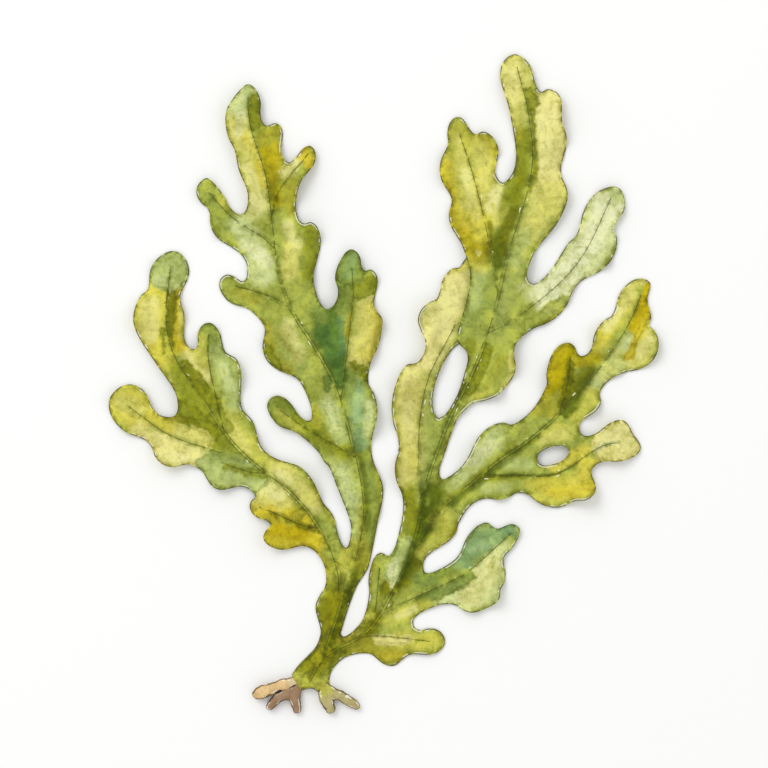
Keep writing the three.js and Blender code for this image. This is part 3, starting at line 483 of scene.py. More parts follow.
# The washes, from the first laid to the last: paint, strength, half width in mm and path, then "crisp"
# where it dries with a sharp edge and, where it stops at a rib, the side of that rib on which it lies
UPPER_WASHES = [
    # the stalk and its stems
    ("olive", 0.9, 9, [(-36, -134), (-27, -122), (-24, -108), (-22, -96)]),
    ("olive", 0.9, 8, [(-24, -122), (-10, -114), (0, -102), (8, -88)]),
    ("lime", 0.9, 6, [(-41, -134), (-34, -138), (-27, -137)]),
    ("ochre", 0.5, 7, [(-31, -128), (-25, -114), (-22, -98)]),
    ("ochre", 0.5, 5, [(-14, -117), (-3, -106), (4, -94)]),
    ("deep_olive", 0.4, 9, [(-33, -130), (-27, -122), (-24, -108), (-20, -94)]),
    ("deep_olive", 0.4, 7, [(-24, -122), (-10, -114), (0, -102), (7, -90)]),
    ("deep_olive", 0.6, 2.4, [(-40, -131), (-31, -120)]),
    ("deep_olive", 0.8, 5, [(-29, -112), (-27, -100)], "left tall_left"),
    ("deep_olive", 0.8, 4, [(-25, -122), (-22, -110), (-20, -98)], "left left_stem"),
    ("khaki", 0.9, 4, [(-29, -90), (-29.5, -80)], "left far_left"),
    ("lime", 0.7, 4, [(-18.6, -86), (-17.6, -76)], "left tall_left"),
    ("deep_olive", 0.8, 3.4, [(-19, -104), (-14, -92), (-10, -80)], "right left_stem"),
    ("forest_olive", 0.7, 2, [(-25, -118), (-19, -102), (-13, -87)], "right left_stem"),
    *beside("left right_stem", [
        ("forest_olive", 0.6, 1.4, [(-22, -121), (-8, -113), (2, -99)]),
        ("khaki", 0.8, 4.5, [(-18, -117), (-8, -114)]),
        ("lime", 0.7, 3, [(-14, -112), (-8, -105)], "crisp"),
    ]),
    ("deep_olive", 0.7, 3, [(-24, -124), (-14, -121)], "right right_stem"),
    ("leaf", 0.8, 5.5, [(-5, -98), (-4, -86), (-2.4, -80)]),
    ("khaki", 0.7, 3, [(-7, -92), (-6, -82)]),
    ("deep_olive", 0.9, 3.2, [(1, -98), (1.6, -92)], "crisp"),
    # the far left branch
    ("khaki", 0.8, 9, [(-28, -86), (-34, -72), (-46, -54)]),
    *beside("left far_left", [
        ("gold", 0.95, 8, [(-30, -72), (-46, -70), (-52, -69)]),
        ("amber", 0.9, 5, [(-38, -68), (-49, -66)]),
        ("gold", 0.95, 6, [(-46, -58), (-58, -56)]),
    ]),
    ("amber", 0.7, 3, [(-55, -57), (-50, -60)]),
    *beside("left far_left", [
        ("gold", 0.9, 4, [(-56, -58), (-45, -58), (-35, -62)]),
        ("deep_olive", 0.7, 1.3, [(-30, -67), (-37, -64.6), (-45, -61), (-51, -59)], "crisp"),
        ("khaki", 0.7, 3, [(-34, -56), (-40, -60)], "crisp"),
        ("lemon", 0.9, 8, [(-46, -52), (-60, -49)]),
        ("pale_lemon", 0.8, 5, [(-48, -50), (-56, -47)]),
    ]),
    *beside("right far_left", [
        ("wheat", 0.75, 6, [(-32, -56), (-42, -42), (-50, -36)]),
        ("khaki", 0.6, 2.6, [(-24, -62), (-28, -52), (-34, -43)]),
        ("pale_lemon", 0.7, 3.4, [(-44, -44), (-52, -38)]),
        ("lime", 0.9, 7, [(-54, -36), (-66, -24), (-72, -10)]),
        ("lemon", 0.8, 4, [(-62, -30), (-69, -20)]),
    ]),
    *beside("left far_left", [
        ("olive", 0.85, 8, [(-74, -26), (-84, -12), (-90, 0), (-96, 10)]),
        ("lime", 0.7, 6, [(-98, -2), (-104, 10)]),
        ("olive", 0.8, 5, [(-94, -12), (-86, -16), (-80, -23)], "crisp"),
        ("deep_olive", 0.7, 2.4, [(-95, -15), (-89, -17), (-82, -23)], "crisp"),
    ]),
    *beside("right far_left_side", [
        ("lemon", 0.95, 6, [(-84, -27), (-96, -24), (-106, -17)], "crisp"),
        ("yellow", 0.9, 5, [(-98, -19), (-108, -14)]),
        ("khaki", 0.6, 3, [(-102, -15), (-94, -17)]),
    ]),
    ("yellow", 0.95, 13, [(-110, -14), (-118, -9)]),
    ("lemon", 0.8, 6, [(-112, -12), (-119, -8)]),
    ("straw", 0.95, 9, [(-86, -35), (-97, -32), (-109, -24)], "left far_left_side"),
    ("pale_lemon", 0.7, 4, [(-90, -34), (-100, -33)], "left far_left_side"),
    ("grey_green", 0.95, 7.5, [(-60, -43), (-70, -41), (-79, -39)], "crisp", "left far_left"),
    ("green", 0.6, 4.5, [(-58, -41), (-70, -36), (-78, -33)], "left far_left"),
    ("olive", 0.7, 1.7, [(-54, -41), (-62, -40), (-72, -37.4)], "crisp"),
    ("straw", 0.9, 6.5, [(-81, 4), (-86, 12), (-88, 15)], "left inner_tip"),
    *beside("right far_left", [
        ("olive", 0.95, 3.6, [(-91, 7), (-84, -1), (-77, -9)], "crisp"),
        ("deep_olive", 0.5, 2, [(-90, 6), (-82, -4)], "crisp"),
        ("olive", 0.7, 3, [(-77, -10), (-72, -20)], "crisp"),
    ]),
    ("grey_green", 0.9, 7, [(-75, 16), (-71, 4), (-68, -8)], "right inner_tip"),
    ("pale_green", 0.7, 3, [(-73, 8), (-70, -2)], "right inner_tip"),
    ("lime", 0.9, 6, [(-84, 20), (-82, 10)], "left inner_tip"),
    ("green", 0.55, 5, [(-80, 25), (-77, 20)]),
    ("yellow", 0.95, 11, [(-104, 12), (-107, 26), (-104, 42)], "left far_left"),
    ("pale_lemon", 0.6, 6, [(-106, 36), (-107, 22)], "left far_left"),
    *beside("right far_left", [
        ("amber", 0.8, 7, [(-93, 18), (-92, 30), (-93, 42)]),
        ("lemon", 0.7, 3, [(-92, 22), (-91, 34)]),
        ("deep_olive", 0.9, 2.3, [(-97, 42), (-97.4, 32), (-98, 25)], "crisp"),
        ("olive", 0.9, 1.5, [(-98.4, 25), (-97.4, 15)], "crisp"),
    ]),
    ("olive", 0.8, 1.2, [(-100.8, 24), (-100.2, 14)], "crisp", "left far_left"),
    ("grey_green", 0.95, 11, [(-98, 53), (-97, 55)], "crisp"),
    ("pale_green", 0.6, 4, [(-102, 47), (-96, 46)]),
    # the tall left branch, from its foot up
    ("khaki", 0.7, 9, [(-12, -78), (-10, -56)]),
    ("grey_green", 0.95, 8, [(-17, -66), (-17, -50), (-21, -38)], "left tall_left"),
    ("pale_green", 0.6, 4.5, [(-20, -42), (-17, -54)], "crisp", "left tall_left"),
    *beside("right tall_left", [
        ("green", 0.7, 8, [(-4, -68), (-3, -50), (-5, -38)]),
        ("khaki", 0.5, 2.4, [(-2.4, -66), (-1.4, -50), (-4, -38)]),
        ("forest_olive", 0.6, 2.4, [(-7.6, -66), (-8, -50), (-10, -38), (-13, -26)]),
        ("forest_olive", 0.5, 2.6, [(-10, -37), (-9, -29)]),
    ]),
    ("olive", 0.85, 7, [(-18, -31), (-32, -22), (-46, -12)]),
    ("green", 0.6, 5, [(-44, -13), (-50, -9)]),
    ("lime", 0.6, 3, [(-48, -13), (-38, -22)]),
    ("khaki", 0.7, 3, [(-30, -10), (-31, -19)]),
    *beside("left tall_left", [
        ("grey_green", 0.9, 5.5, [(-20, -24), (-24, -12), (-28, -6)]),
        ("pale_green", 0.7, 2.6, [(-22, -20), (-26, -8)], "crisp"),
        ("leaf", 0.85, 7, [(-31, -4), (-36, 6)]),
    ]),
    *beside("right tall_left", [
        ("teal", 0.9, 6, [(-13, -2), (-12, -14), (-11, -26)]),
        ("pale_green", 0.8, 4, [(-6, -10), (-7, -22)]),
        ("blue_green", 0.7, 3.4, [(-12, -6), (-12, -16)]),
        ("green", 0.9, 8, [(-29, 31), (-24, 17), (-20, 4)]),
        ("moss", 0.9, 7, [(-28, 26), (-24, 14), (-20, 2)]),
    ]),
    ("moss", 0.9, 4.5, [(-24, 33), (-21, 20), (-19, 6)], "left twin"),
    ("forest", 0.55, 5, [(-27, 26), (-23, 10)], "right tall_left"),
    ("forest_teal", 0.45, 2.6, [(-20, 30), (-19, 14)], "left twin"),
    ("green", 0.8, 5, [(-31, 38), (-28, 30)], "right tall_left"),
    ("green", 0.7, 4, [(-14, 6), (-16, -4)], "right twin"),
    ("forest", 0.6, 1.8, [(-26, -2), (-26, 2)], "crisp"),
    *beside("left tall_left", [
        ("sage", 0.5, 9, [(-40, 8), (-46, 24)]),
        ("wheat", 0.5, 5, [(-40, 12), (-44, 24)]),
        ("khaki", 0.8, 7, [(-46, 6), (-53, 11), (-54, 24)]),
        ("olive", 0.8, 4, [(-54, 14), (-50, 8)], "crisp"),
        ("pale_lemon", 0.5, 3.4, [(-38, 14), (-44, 28)]),
        ("leaf", 0.85, 8, [(-50, 34), (-62, 42), (-70, 46)]),
    ]),
    ("khaki", 0.6, 4, [(-58, 38), (-68, 42)]),
    ("pale_green", 0.85, 8, [(-56, 50), (-58, 60)], "left tall_left"),
    ("milk", 0.75, 4.5, [(-54, 56), (-62, 64)], "left tall_left"),
    *beside("right tall_left", [
        ("leaf", 0.8, 9, [(-36, 40), (-36, 56)]),
        ("lemon", 0.85, 5, [(-43, 50), (-42, 62)]),
        ("olive", 0.8, 5, [(-34, 72), (-33, 60), (-34, 50)]),
        ("pale_lemon", 0.7, 4, [(-44, 72), (-40, 64)]),
    ]),
    *beside("right twin", [
        ("wheat", 0.95, 8, [(-12, 12), (-7, 22), (-6, 36)]),
        ("yellow", 0.5, 5, [(-10, 14), (-6, 24), (-6, 34)]),
        ("lemon", 0.7, 3, [(-10, 18), (-9, 30)]),
    ]),
    ("ochre", 0.6, 2.4, [(-3, 38), (-2, 28), (-6, 10)]),
    ("olive", 0.85, 1.7, [(-14, 8.6), (-9.4, 6.6), (-7.6, 2)], "crisp", "right twin"),
    ("amber", 0.8, 0.8, [(-16.4, 22), (-15, 38)], "crisp", "left twin"),
    ("olive", 0.8, 4, [(-12, 42), (-5, 45)], "crisp"),
    ("green", 0.9, 7, [(-18, 36), (-19, 50)], "left twin"),
    ("green", 0.9, 8, [(-16, 52), (-14, 60)], "crisp"),
    ("teal", 0.6, 4, [(-16, 50), (-14, 57)]),
    # its upper half
    ("leaf", 0.9, 7, [(-68, 72), (-78, 82), (-82, 92)]),
    ("green", 0.4, 3.4, [(-71, 73), (-77, 82)], "crisp"),
    ("lime", 0.8, 3.4, [(-67, 76), (-74, 84)], "right upper_left_side"),
    ("pale_green", 0.9, 7, [(-60, 66), (-66, 72)]),
    *beside("left tall_left", [
        ("pale_lemon", 0.85, 7, [(-58, 80), (-60, 88)]),
        ("lemon", 0.95, 9, [(-58, 92), (-62, 106), (-67, 118)]),
        ("yellow", 0.7, 3, [(-57, 98), (-60, 108), (-66, 116)]),
        ("pale_lemon", 0.55, 3.4, [(-58, 84), (-62, 98)]),
        ("amber", 0.5, 2.2, [(-55, 90), (-57, 100)]),
    ]),
    ("pale_green", 0.95, 6, [(-68, 126), (-62, 134)]),
    ("milk", 0.5, 3, [(-65, 122), (-66, 114)]),
    ("grey_green", 0.8, 4, [(-64, 134), (-60, 132)]),
    *beside("right tall_left", [
        ("ochre", 0.95, 6, [(-50, 84), (-52, 96), (-54, 106)]),
        ("deep_olive", 0.55, 2.6, [(-49, 78), (-51, 90)]),
        ("khaki", 0.9, 6, [(-54, 112), (-49, 115)]),
        ("olive", 0.9, 3.4, [(-58, 129), (-59, 118)], "crisp"),
        ("amber", 0.7, 3.4, [(-49, 108), (-48, 100)]),
    ]),
    ("pale_lemon", 0.9, 3.4, [(-44, 96), (-40, 101)], "crisp"),
    ("gold", 0.9, 5, [(-37, 105), (-34, 100)]),
    ("khaki", 0.8, 4.5, [(-43, 92), (-42, 80)]),
    # the right trunk and the tall right branch
    ("olive", 0.8, 9, [(8, -88), (12, -76), (16, -60)]),
    ("grey_green", 0.95, 4.4, [(9, -74), (6.4, -81), (4.4, -87)], "crisp", "left tall_right"),
    ("milk", 0.85, 1.3, [(6.4, -80), (4, -86), (3.8, -92)], "crisp", "left tall_right"),
    ("milk", 0.6, 0.9, [(2.6, -83), (3, -88)], "crisp"),
    ("khaki", 0.9, 5, [(11, -60), (10, -50)], "left tall_right"),
    ("olive", 0.85, 5, [(14, -64), (12, -54), (12, -50)], "left inner"),
    ("deep_olive", 0.8, 2, [(9, -56), (7.6, -48)]),
    ("forest_olive", 0.9, 2.2, [(17.8, -62), (17.4, -48), (18.8, -37)], "right inner"),
    *beside("right tall_right", [
        ("forest_olive", 0.95, 6, [(16, -74), (20, -62), (24, -52), (22, -46)]),
        ("deep_olive", 0.8, 6, [(8, -92), (14, -82)]),
        ("forest_olive", 0.6, 5, [(10, -86), (15, -77)]),
    ]),
    ("forest_olive", 0.8, 2.4, [(9, -86), (14, -72), (17, -60), (18, -48)]),
    ("forest_olive", 0.85, 0.9, [(3, -97), (7, -89), (11.4, -79), (17.6, -69), (24, -59.6)]),
    ("lime", 0.95, 6, [(25, -58), (30, -66)], "right far_right"),
    ("khaki", 0.6, 2, [(34, -62), (31, -70), (22, -76)]),
    ("lime", 0.8, 5, [(18, -77), (26, -70)], "right far_right"),
    *beside("right tall_right", [
        ("leaf", 0.9, 8, [(38, 6), (46, 16), (56, 26)]),
        ("khaki", 0.45, 3.4, [(43, -5), (50, 3), (54, 11)]),
        ("lemon", 0.85, 2.8, [(54, -3), (58.6, 4), (58.4, 14)]),
        ("lime", 0.7, 2.4, [(40, -7), (49, -4)]),
        ("olive", 0.85, 3.4, [(38, -2), (43, 6), (46, 16)], "crisp"),
    ]),
    *beside("left tall_right", [
        ("teal_olive", 0.95, 8, [(38, 24), (43, 36), (46, 50)]),
        ("grey_green", 0.75, 4.5, [(41, 36), (43, 50)]),
        ("leaf", 0.5, 3, [(38, 22), (42, 28)]),
    ]),
    *beside("right tall_right", [
        ("leaf", 0.85, 8, [(55, 34), (60, 44), (62, 54)]),
        ("sage", 0.8, 9, [(50, 24), (57, 38), (59, 54)]),
        ("lime", 0.6, 4, [(60, 54), (64, 60)]),
    ]),
    ("yellow", 0.95, 17, [(38, 66), (38, 84), (38, 108), (44, 100)], "left tall_right"),
    ("khaki", 0.6, 5, [(30, 104), (32, 118), (42, 112), (49, 106)], "left tall_right"),
    *beside("left left_tip", [
        ("ochre", 0.9, 7, [(35, 67), (38, 62), (44, 60)]),
        ("deep_olive", 0.6, 2.6, [(46, 66), (47.4, 56)]),
        ("gold", 0.7, 5, [(35, 70), (31, 80), (30, 88), (27, 98)]),
        ("ochre", 0.5, 2, [(36, 66), (31, 76), (31, 84), (27, 94)]),
        ("lemon", 0.6, 5, [(38, 82), (36, 100), (34, 110)]),
        ("pale_lemon", 0.7, 3.6, [(41, 82), (37, 96)]),
    ]),
    ("lemon", 0.8, 6, [(46, 84), (46, 98), (44, 106)], "right left_tip"),
    ("khaki", 0.5, 2.4, [(38, 74), (43, 68)]),
    ("lemon", 0.7, 3, [(42, 76), (40, 90)], "left left_tip"),
    ("khaki", 0.5, 4, [(48, 106), (46, 112)], "right left_tip"),
    ("pale_lemon", 0.85, 4.2, [(52, 88), (49, 80)]),
    ("lemon", 0.7, 2, [(50, 80), (51.4, 70)]),
    *beside("right left_tip", [
        ("forest_olive", 0.9, 5, [(51.6, 54), (51.4, 61), (52, 68)]),
        ("forest_olive", 0.6, 2.6, [(53, 66), (56, 74)]),
        ("deep_olive", 0.7, 3.4, [(53, 66), (56, 72)]),
        ("deep_olive", 0.85, 1.8, [(49.6, 60), (48, 73)]),
    ]),
    ("deep_olive", 0.9, 3, [(54, 60), (56, 70), (59, 79)], "left tall_right"),
    ("khaki", 0.5, 2.4, [(54, 78), (56, 86)]),
    *beside("left tall_right", [
        ("deep_olive", 0.7, 3.2, [(59, 77), (61, 86), (63, 94)]),
        ("olive", 0.9, 6, [(58, 84), (63, 98), (63, 112)]),
        ("khaki", 0.8, 4, [(60, 112), (60, 124)]),
        ("lemon", 0.95, 9, [(59, 124), (58, 134), (58, 148)]),
    ]),
    ("lemon", 0.9, 6, [(64, 138), (62, 148)]),
    ("straw", 0.7, 5, [(58, 130), (58, 144)]),
    *beside("right tall_right", [
        ("straw", 0.95, 12, [(75, 128), (76, 112), (76, 94)]),
        ("pale_lemon", 0.9, 5, [(73, 120), (74, 100)]),
        ("olive", 0.9, 2.6, [(66, 132), (67.6, 127)], "crisp"),
        ("olive", 0.85, 1.2, [(67.4, 124), (68.6, 110), (68.6, 98), (66.4, 88)], "crisp"),
        ("olive", 0.8, 2.2, [(69, 102), (68.4, 92)]),
        ("lemon", 0.85, 9, [(67, 70), (72, 80), (76, 88)]),
        ("grey_green", 0.6, 5, [(60, 56), (64, 68)]),
        ("lemon", 0.6, 4, [(78, 78), (81, 90)]),
    ]),
    ("straw", 0.9, 0.7, [(42.6, 60), (43.4, 59)], "crisp"),
    # the pale side blade
    ("leaf", 0.8, 6, [(60, 30), (68, 36)]),
    ("milk", 0.97, 14, [(76, 42), (88, 54), (98, 68), (104, 84)]),
    ("pale_green", 0.6, 4, [(92, 80), (84, 66), (76, 54)], "left pale_side"),
    ("pale_green", 0.7, 4, [(92, 50), (102, 62), (106, 72)], "right pale_side"),
    ("grey_green", 0.8, 3.6, [(102, 90), (108, 84)]),
    ("leaf", 0.9, 5, [(68, 26), (76, 30), (82, 35)], "crisp", "right pale_side"),
    ("khaki", 0.6, 2.4, [(74, 27), (83, 33)], "right pale_side"),
    # the far right branch
    *beside("left far_right", [
        ("pale_green", 0.6, 7, [(34, -44), (44, -32), (52, -24)]),
        ("milk", 0.5, 3, [(41, -35), (48, -27)], "crisp"),
        ("leaf", 0.8, 6, [(58, -22), (66, -15)]),
        ("olive", 0.9, 3, [(22, -62), (34, -50), (46, -40), (60, -29)]),
    ]),
    ("lime", 0.8, 5, [(66, -24), (74, -22), (84, -22)], "right far_right"),
    ("khaki", 0.8, 6, [(70, -10), (78, -12)], "left far_right"),
    ("lemon", 0.6, 4, [(72, -26), (84, -23)], "right far_right"),
    ("ochre", 1.0, 10, [(76, 0), (80, 10), (84, 15)], "left far_right"),
    ("amber", 0.4, 4, [(77, 2), (81, 12)], "left ochre_lobe"),
    ("deep_olive", 0.9, 6, [(83, -9), (88, 0), (94, 6)], "left far_right"),
    ("forest_olive", 0.6, 3, [(85, -7), (90, 0), (95, 5)], "left far_right"),
    ("deep_olive", 0.85, 2, [(81, -10), (84, 0), (85, 9)], "crisp"),
    ("ochre", 0.9, 4.5, [(90, 10), (96, 12)], "left far_right"),
    *beside("right far_right", [
        ("forest_olive", 0.9, 3, [(83, -13), (90, -6), (96, 0)], "crisp"),
        ("lime", 0.95, 5, [(88, -16), (94, -8), (96, -4)]),
        ("pale_green", 0.95, 7, [(99, 2), (105, 9), (112, 18)]),
    ]),
    *beside("left far_right", [
        ("yellow", 0.95, 7, [(98, 20), (104, 30), (110, 40)]),
        ("pale_lemon", 0.75, 4, [(102, 26), (108, 36), (112, 44)]),
        ("lemon", 0.9, 5, [(110, 38), (113, 46), (119, 47)]),
    ]),
    *beside("right far_right", [
        ("lime", 0.55, 6, [(100, 3), (107, 12)]),
        ("lemon", 0.95, 7, [(114, 10), (119, 18), (121, 24)]),
        ("pale_lemon", 0.6, 3, [(116, 14), (121, 20)]),
        ("amber", 0.97, 6.5, [(115, 27), (119, 36), (120, 44)]),
        ("gold", 0.9, 1.7, [(111, 12), (115, 20), (118, 28)], "crisp"),
    ]),
    # the golden branch under it
    ("leaf", 0.9, 6, [(44, -47), (54, -47), (62, -46)]),
    ("pale_green", 0.4, 3.4, [(46, -48), (56, -47)], "right golden"),
    ("grey_green", 0.8, 4, [(56, -36), (66, -37)], "left golden"),
    *beside("right golden", [
        ("yellow", 0.95, 10, [(72, -48), (84, -48), (92, -44)]),
        ("gold", 0.6, 4, [(76, -50), (86, -49), (94, -46)]),
        ("khaki", 0.4, 4, [(70, -45), (82, -44)]),
        ("lime", 0.8, 4, [(68, -50), (78, -56)]),
    ]),
    ("yellow", 0.9, 5, [(78, -37), (92, -31)], "left golden"),
    ("yellow", 0.85, 4, [(90, -36), (96, -37)], "right golden"),
    ("forest_olive", 0.75, 3, [(30, -55), (40, -47), (50, -38.6), (60, -31), (70, -24)], "right far_right"),
    ("olive", 0.7, 2, [(42, -43), (54, -42.6), (64, -42)]),
    ("forest_olive", 0.7, 0.9, [(46, -42), (60, -41.6), (74, -42), (82, -39.6), (88, -36)]),
    ("straw", 0.97, 10.5, [(105, -27), (110, -26)], "crisp"),
    ("pale_lemon", 0.8, 6, [(100, -25), (110, -25)]),
    ("milk", 0.8, 0.7, [(96, -30.6), (100, -28.4), (104, -27)], "crisp"),
    # the low right branches
    ("leaf", 0.8, 7, [(2, -102), (16, -96)]),
    *beside("left low_right", [
        ("green", 0.95, 6, [(16, -90), (30, -84), (38, -78)]),
        ("teal", 0.97, 8.5, [(37, -79), (43, -72), (50, -69), (60, -67)]),
        ("blue_green", 0.7, 3, [(40, -76), (48, -72)]),
    ]),
    ("forest_teal", 0.6, 3, [(56, -66), (60, -69)]),
    ("teal", 0.9, 1.6, [(58, -66.4), (60.6, -68)]),
    *beside("right low_right", [
        ("pale_green", 0.95, 12, [(30, -102), (44, -94), (52, -80)]),
        ("pale_lemon", 0.7, 8, [(40, -97), (49, -84)]),
        ("green", 0.9, 3.4, [(18, -98), (28, -93), (38, -88)], "crisp"),
        ("lime", 0.9, 5, [(2, -108), (12, -104), (20, -102)]),
        ("pale_lemon", 0.6, 2.6, [(6, -106), (14, -103)]),
    ]),
    ("khaki", 0.9, 7, [(-12, -120), (4, -124), (10, -120)]),
    ("lime", 0.9, 8, [(10, -117), (23, -117)]),
    ("yellow", 0.5, 4, [(14, -119), (24, -116)]),
    ("gold", 0.5, 3.4, [(0, -124), (8, -124)]),
    ("straw", 0.95, 1.8, [(-3, -116.6), (4, -117), (11, -117)], "crisp"),
]
INNER_WASHES = [
    ("wheat", 0.95, 12, [(12, -4), (13, 6)]),
    ("straw", 0.7, 5, [(12, 4), (9, -2)]),
    ("khaki", 0.5, 2, [(4, -10), (7, 4)]),
    ("straw", 0.97, 13, [(18, 14), (25, 28), (32, 46)]),
    ("pale_lemon", 0.8, 6, [(26, 26), (30, 42)]),
    ("yellow", 0.6, 3, [(28, 52), (36, 53)]),
]
# Where the inner blade grows on to the trunk, both sheets are painted alike
JOINT_WASHES = [
    ("wheat", 0.95, 11, [(10, -38), (11, -26), (11, -8)]),
    ("pale_lemon", 0.4, 4, [(10, -10), (11, -22)], "left inner"),
    ("khaki", 0.45, 2.6, [(6, -42), (7.4, -30), (4.6, -18), (4, -10)]),
    ("khaki", 0.4, 3, [(12, -40), (13, -32)], "left inner"),
    ("sage", 0.45, 5, [(19, -4), (20, -20), (18, -36)], "right inner"),
    ("leaf", 0.9, 5, [(22, -42), (30, -20), (34, -12)], "right tall_right"),
    ("khaki", 0.6, 1.6, [(26, -38), (29, -28), (34, -16)]),
    ("green", 0.6, 2.4, [(18, -46), (22, -36), (27, -23), (31, -12)], "left tall_right"),
    ("olive", 0.8, 4, [(29, -12), (35, 4), (40, 18)], "left tall_right"),
]

# The studio, in metres, with the picture's middle a little under the drawing's, in millimetres
FLOOR_SIZE = 6
FLOOR_DROP = 0.0002
FLOOR_COLOUR = (0.93, 0.93, 0.92, 1)
FLOOR_ROUGHNESS = 0.9
WORLD_LIGHT = 0.85
LAMP_PLACE = (-1.2, 1.4, 2.2)
LAMP_SIZE = 1.6
LAMP_POWER = 26.0
PICTURE_WIDTH = 0.35015
PICTURE_MIDDLE = 0.23
CAMERA_HEIGHT = 1.5
SENSOR_WIDTH = 36
FARTHEST_SEEN = 20


def smoothstep(value, low, high):
    """0 below low, 1 above high and a smooth rise between, for numbers and arrays."""
    t = np.clip((value - low) / (high - low), 0, 1)
    return t * t * (3 - 2 * t)


def curve_through(points, closed, step):
    """A smooth centripetal curve through the points, sampled about every step."""
    stops = np.array(points, float)
    if closed:
        stops = np.vstack([stops[-1], stops, stops[:2]])
    else:
        stops = np.vstack([2 * stops[0] - stops[1], stops, 2 * stops[-1] - stops[-2]])
    samples = []
    for p0, p1, p2, p3 in zip(stops, stops[1:], stops[2:], stops[3:]):
        t1 = math.dist(p0, p1) ** 0.5
        t2 = t1 + math.dist(p1, p2) ** 0.5
        t3 = t2 + math.dist(p2, p3) ** 0.5
        count = max(1, round(math.dist(p1, p2) / step))
        t = (t1 + (t2 - t1) * np.arange(count) / count)[:, None]
        a1 = (t1 - t) / t1 * p0 + t / t1 * p1
        a2 = (t2 - t) / (t2 - t1) * p1 + (t - t1) / (t2 - t1) * p2
        a3 = (t3 - t) / (t3 - t2) * p2 + (t - t2) / (t3 - t2) * p3
        b1 = (t2 - t) / t2 * a1 + t / t2 * a2
        b2 = (t3 - t) / (t3 - t1) * a2 + (t - t1) / (t3 - t1) * a3
        samples.append((t2 - t) / (t2 - t1) * b1 + (t - t1) / (t2 - t1) * b2)
    if not closed:
        samples.append(stops[-2][None])
    return np.vstack(samples)


def straight_through(points, step):
    """Straight lines from point to point, sampled about every step."""
    stops = np.array(points, float)
    samples = []
    for start, end in zip(stops, stops[1:]):
        count = max(1, round(math.dist(start, end) / step))
        samples.append(start + (end - start) * (np.arange(count) / count)[:, None])
    return np.vstack([*samples, stops[-1:]])


def distance_to(points, line, reach):
    """Distance from each point to a line, up to reach, how far along it that is, from 0 to 1, and
    the side, 1 on the left of the line's way and -1 on its right."""
    line = np.asarray(line, float)
    distance = np.full(len(points), float(reach))
    along = np.zeros(len(points))
    side = np.zeros(len(points))
    travelled = np.concatenate([[0], np.cumsum(np.hypot(*np.diff(line, axis=0).T))])
    for first in range(0, len(line) - 1, RUN):
        part = line[first : first + RUN + 1]
        near = ((points > part.min(0) - reach) & (points < part.max(0) + reach)).all(1)
        near = np.flatnonzero(near)
        if not len(near):
            continue
        run = np.diff(part, axis=0)
        offset = points[near, None] - part[:-1]
        t = np.clip((offset * run).sum(2) / (run**2).sum(1), 0, 1)
        away = np.hypot(*np.moveaxis(offset - t[..., None] * run, 2, 0))
        best = away.argmin(1)
        rows = np.arange(len(best))
        closer = away[rows, best] < distance[near]
        rows, best, chosen = rows[closer], best[closer], near[closer]
        distance[chosen] = away[rows, best]
        step = travelled[first + best + 1] - travelled[first + best]
        along[chosen] = (travelled[first + best] + t[rows, best] * step) / travelled[-1]
        side[chosen] = np.sign(run[best, 0] * offset[rows, best, 1] - run[best, 1] * offset[rows, best, 0])
    return distance, along, side


def distance_from(points, line):
    """Distance from each point to a line, counted up to the widest."""
    return distance_to(points, line, WIDEST)[0]


def is_inside(points, loop):
    """Whether each point is inside a closed loop."""
    x, y = points[:, 0], points[:, 1]
    inside = np.zeros(len(points), bool)
    for (ax, ay), (bx, by) in zip(loop, np.roll(loop, -1, axis=0)):
        crosses = np.flatnonzero((ay > y) != (by > y))
        beyond = x[crosses] < (bx - ax) * (y[crosses] - ay) / (by - ay) + ax
        inside[crosses[beyond]] ^= True
    return inside


def noise_at(points, *layers):
    """Smooth noise at each flat point: the sum of layers, each with its height, size and seed."""
    return sum(
        height * np.array([noise.noise(Vector((x / size, y / size, seed))) for x, y in points])
        for height, size, seed in layers
    )


def as_closed(loop):
    """The loop with its first point again at its end."""
    return np.vstack([loop, loop[:1]])


def open_margin(loop, joined):
    """A loop without the stretch where the blade is joined to the rest of the plant."""
    drop = np.array([joined(x, y) for x, y in loop])
    first = np.flatnonzero(drop & ~np.roll(drop, -1))[0] + 1
    turned = np.roll(loop, -first, axis=0)
    return turned[~np.roll(drop, -first)]


def in_upper_joint(x, y):
    """Whether a point of the plant's margin is where the inner blade grows on."""
    return JOINT_LEFT < x < JOINT_RIGHT and SEAM_HEIGHT < y < CLEFT_HEIGHT


def in_inner_joint(x, y):
    """Whether a point of the inner blade's margin is inside the right trunk."""
    return y < SEAM_HEIGHT or (x > TRUNK_LEFT and y < CLEFT_HEIGHT)


def smooth_ribs(ribs):
    """Each rib's kind and its smooth line, under its name."""
    return {name: (kind, curve_through(route, False, RIB_STEP)) for name, (kind, route) in ribs.items()}


# The drawn lines, smooth
MARGIN_LOOP = curve_through(sum(MARGIN.values(), []), True, MARGIN_STEP)
WINDOW_LOOP = curve_through(WINDOW, True, MARGIN_STEP)
INNER_LOOP = curve_through(INNER_BLADE, True, MARGIN_STEP)
CROWN_LINE = curve_through(CROWN, False, RIB_STEP)
RIB_LINES = smooth_ribs(RIBS)
FINE_RIB_LINES = smooth_ribs({name: ("fine", route) for name, route in FINE_RIBS.items()})
INNER_RIB_LINE = ("side", curve_through(INNER_RIB, False, RIB_STEP))
ALL_RIB_LINES = {**RIB_LINES, **FINE_RIB_LINES, "inner": INNER_RIB_LINE}
UPPER_RIBS = [*RIB_LINES.values(), *FINE_RIB_LINES.values()]
UPPER_MARGIN = open_margin(MARGIN_LOOP, in_upper_joint)
INNER_MARGIN = open_margin(INNER_LOOP, in_inner_joint)


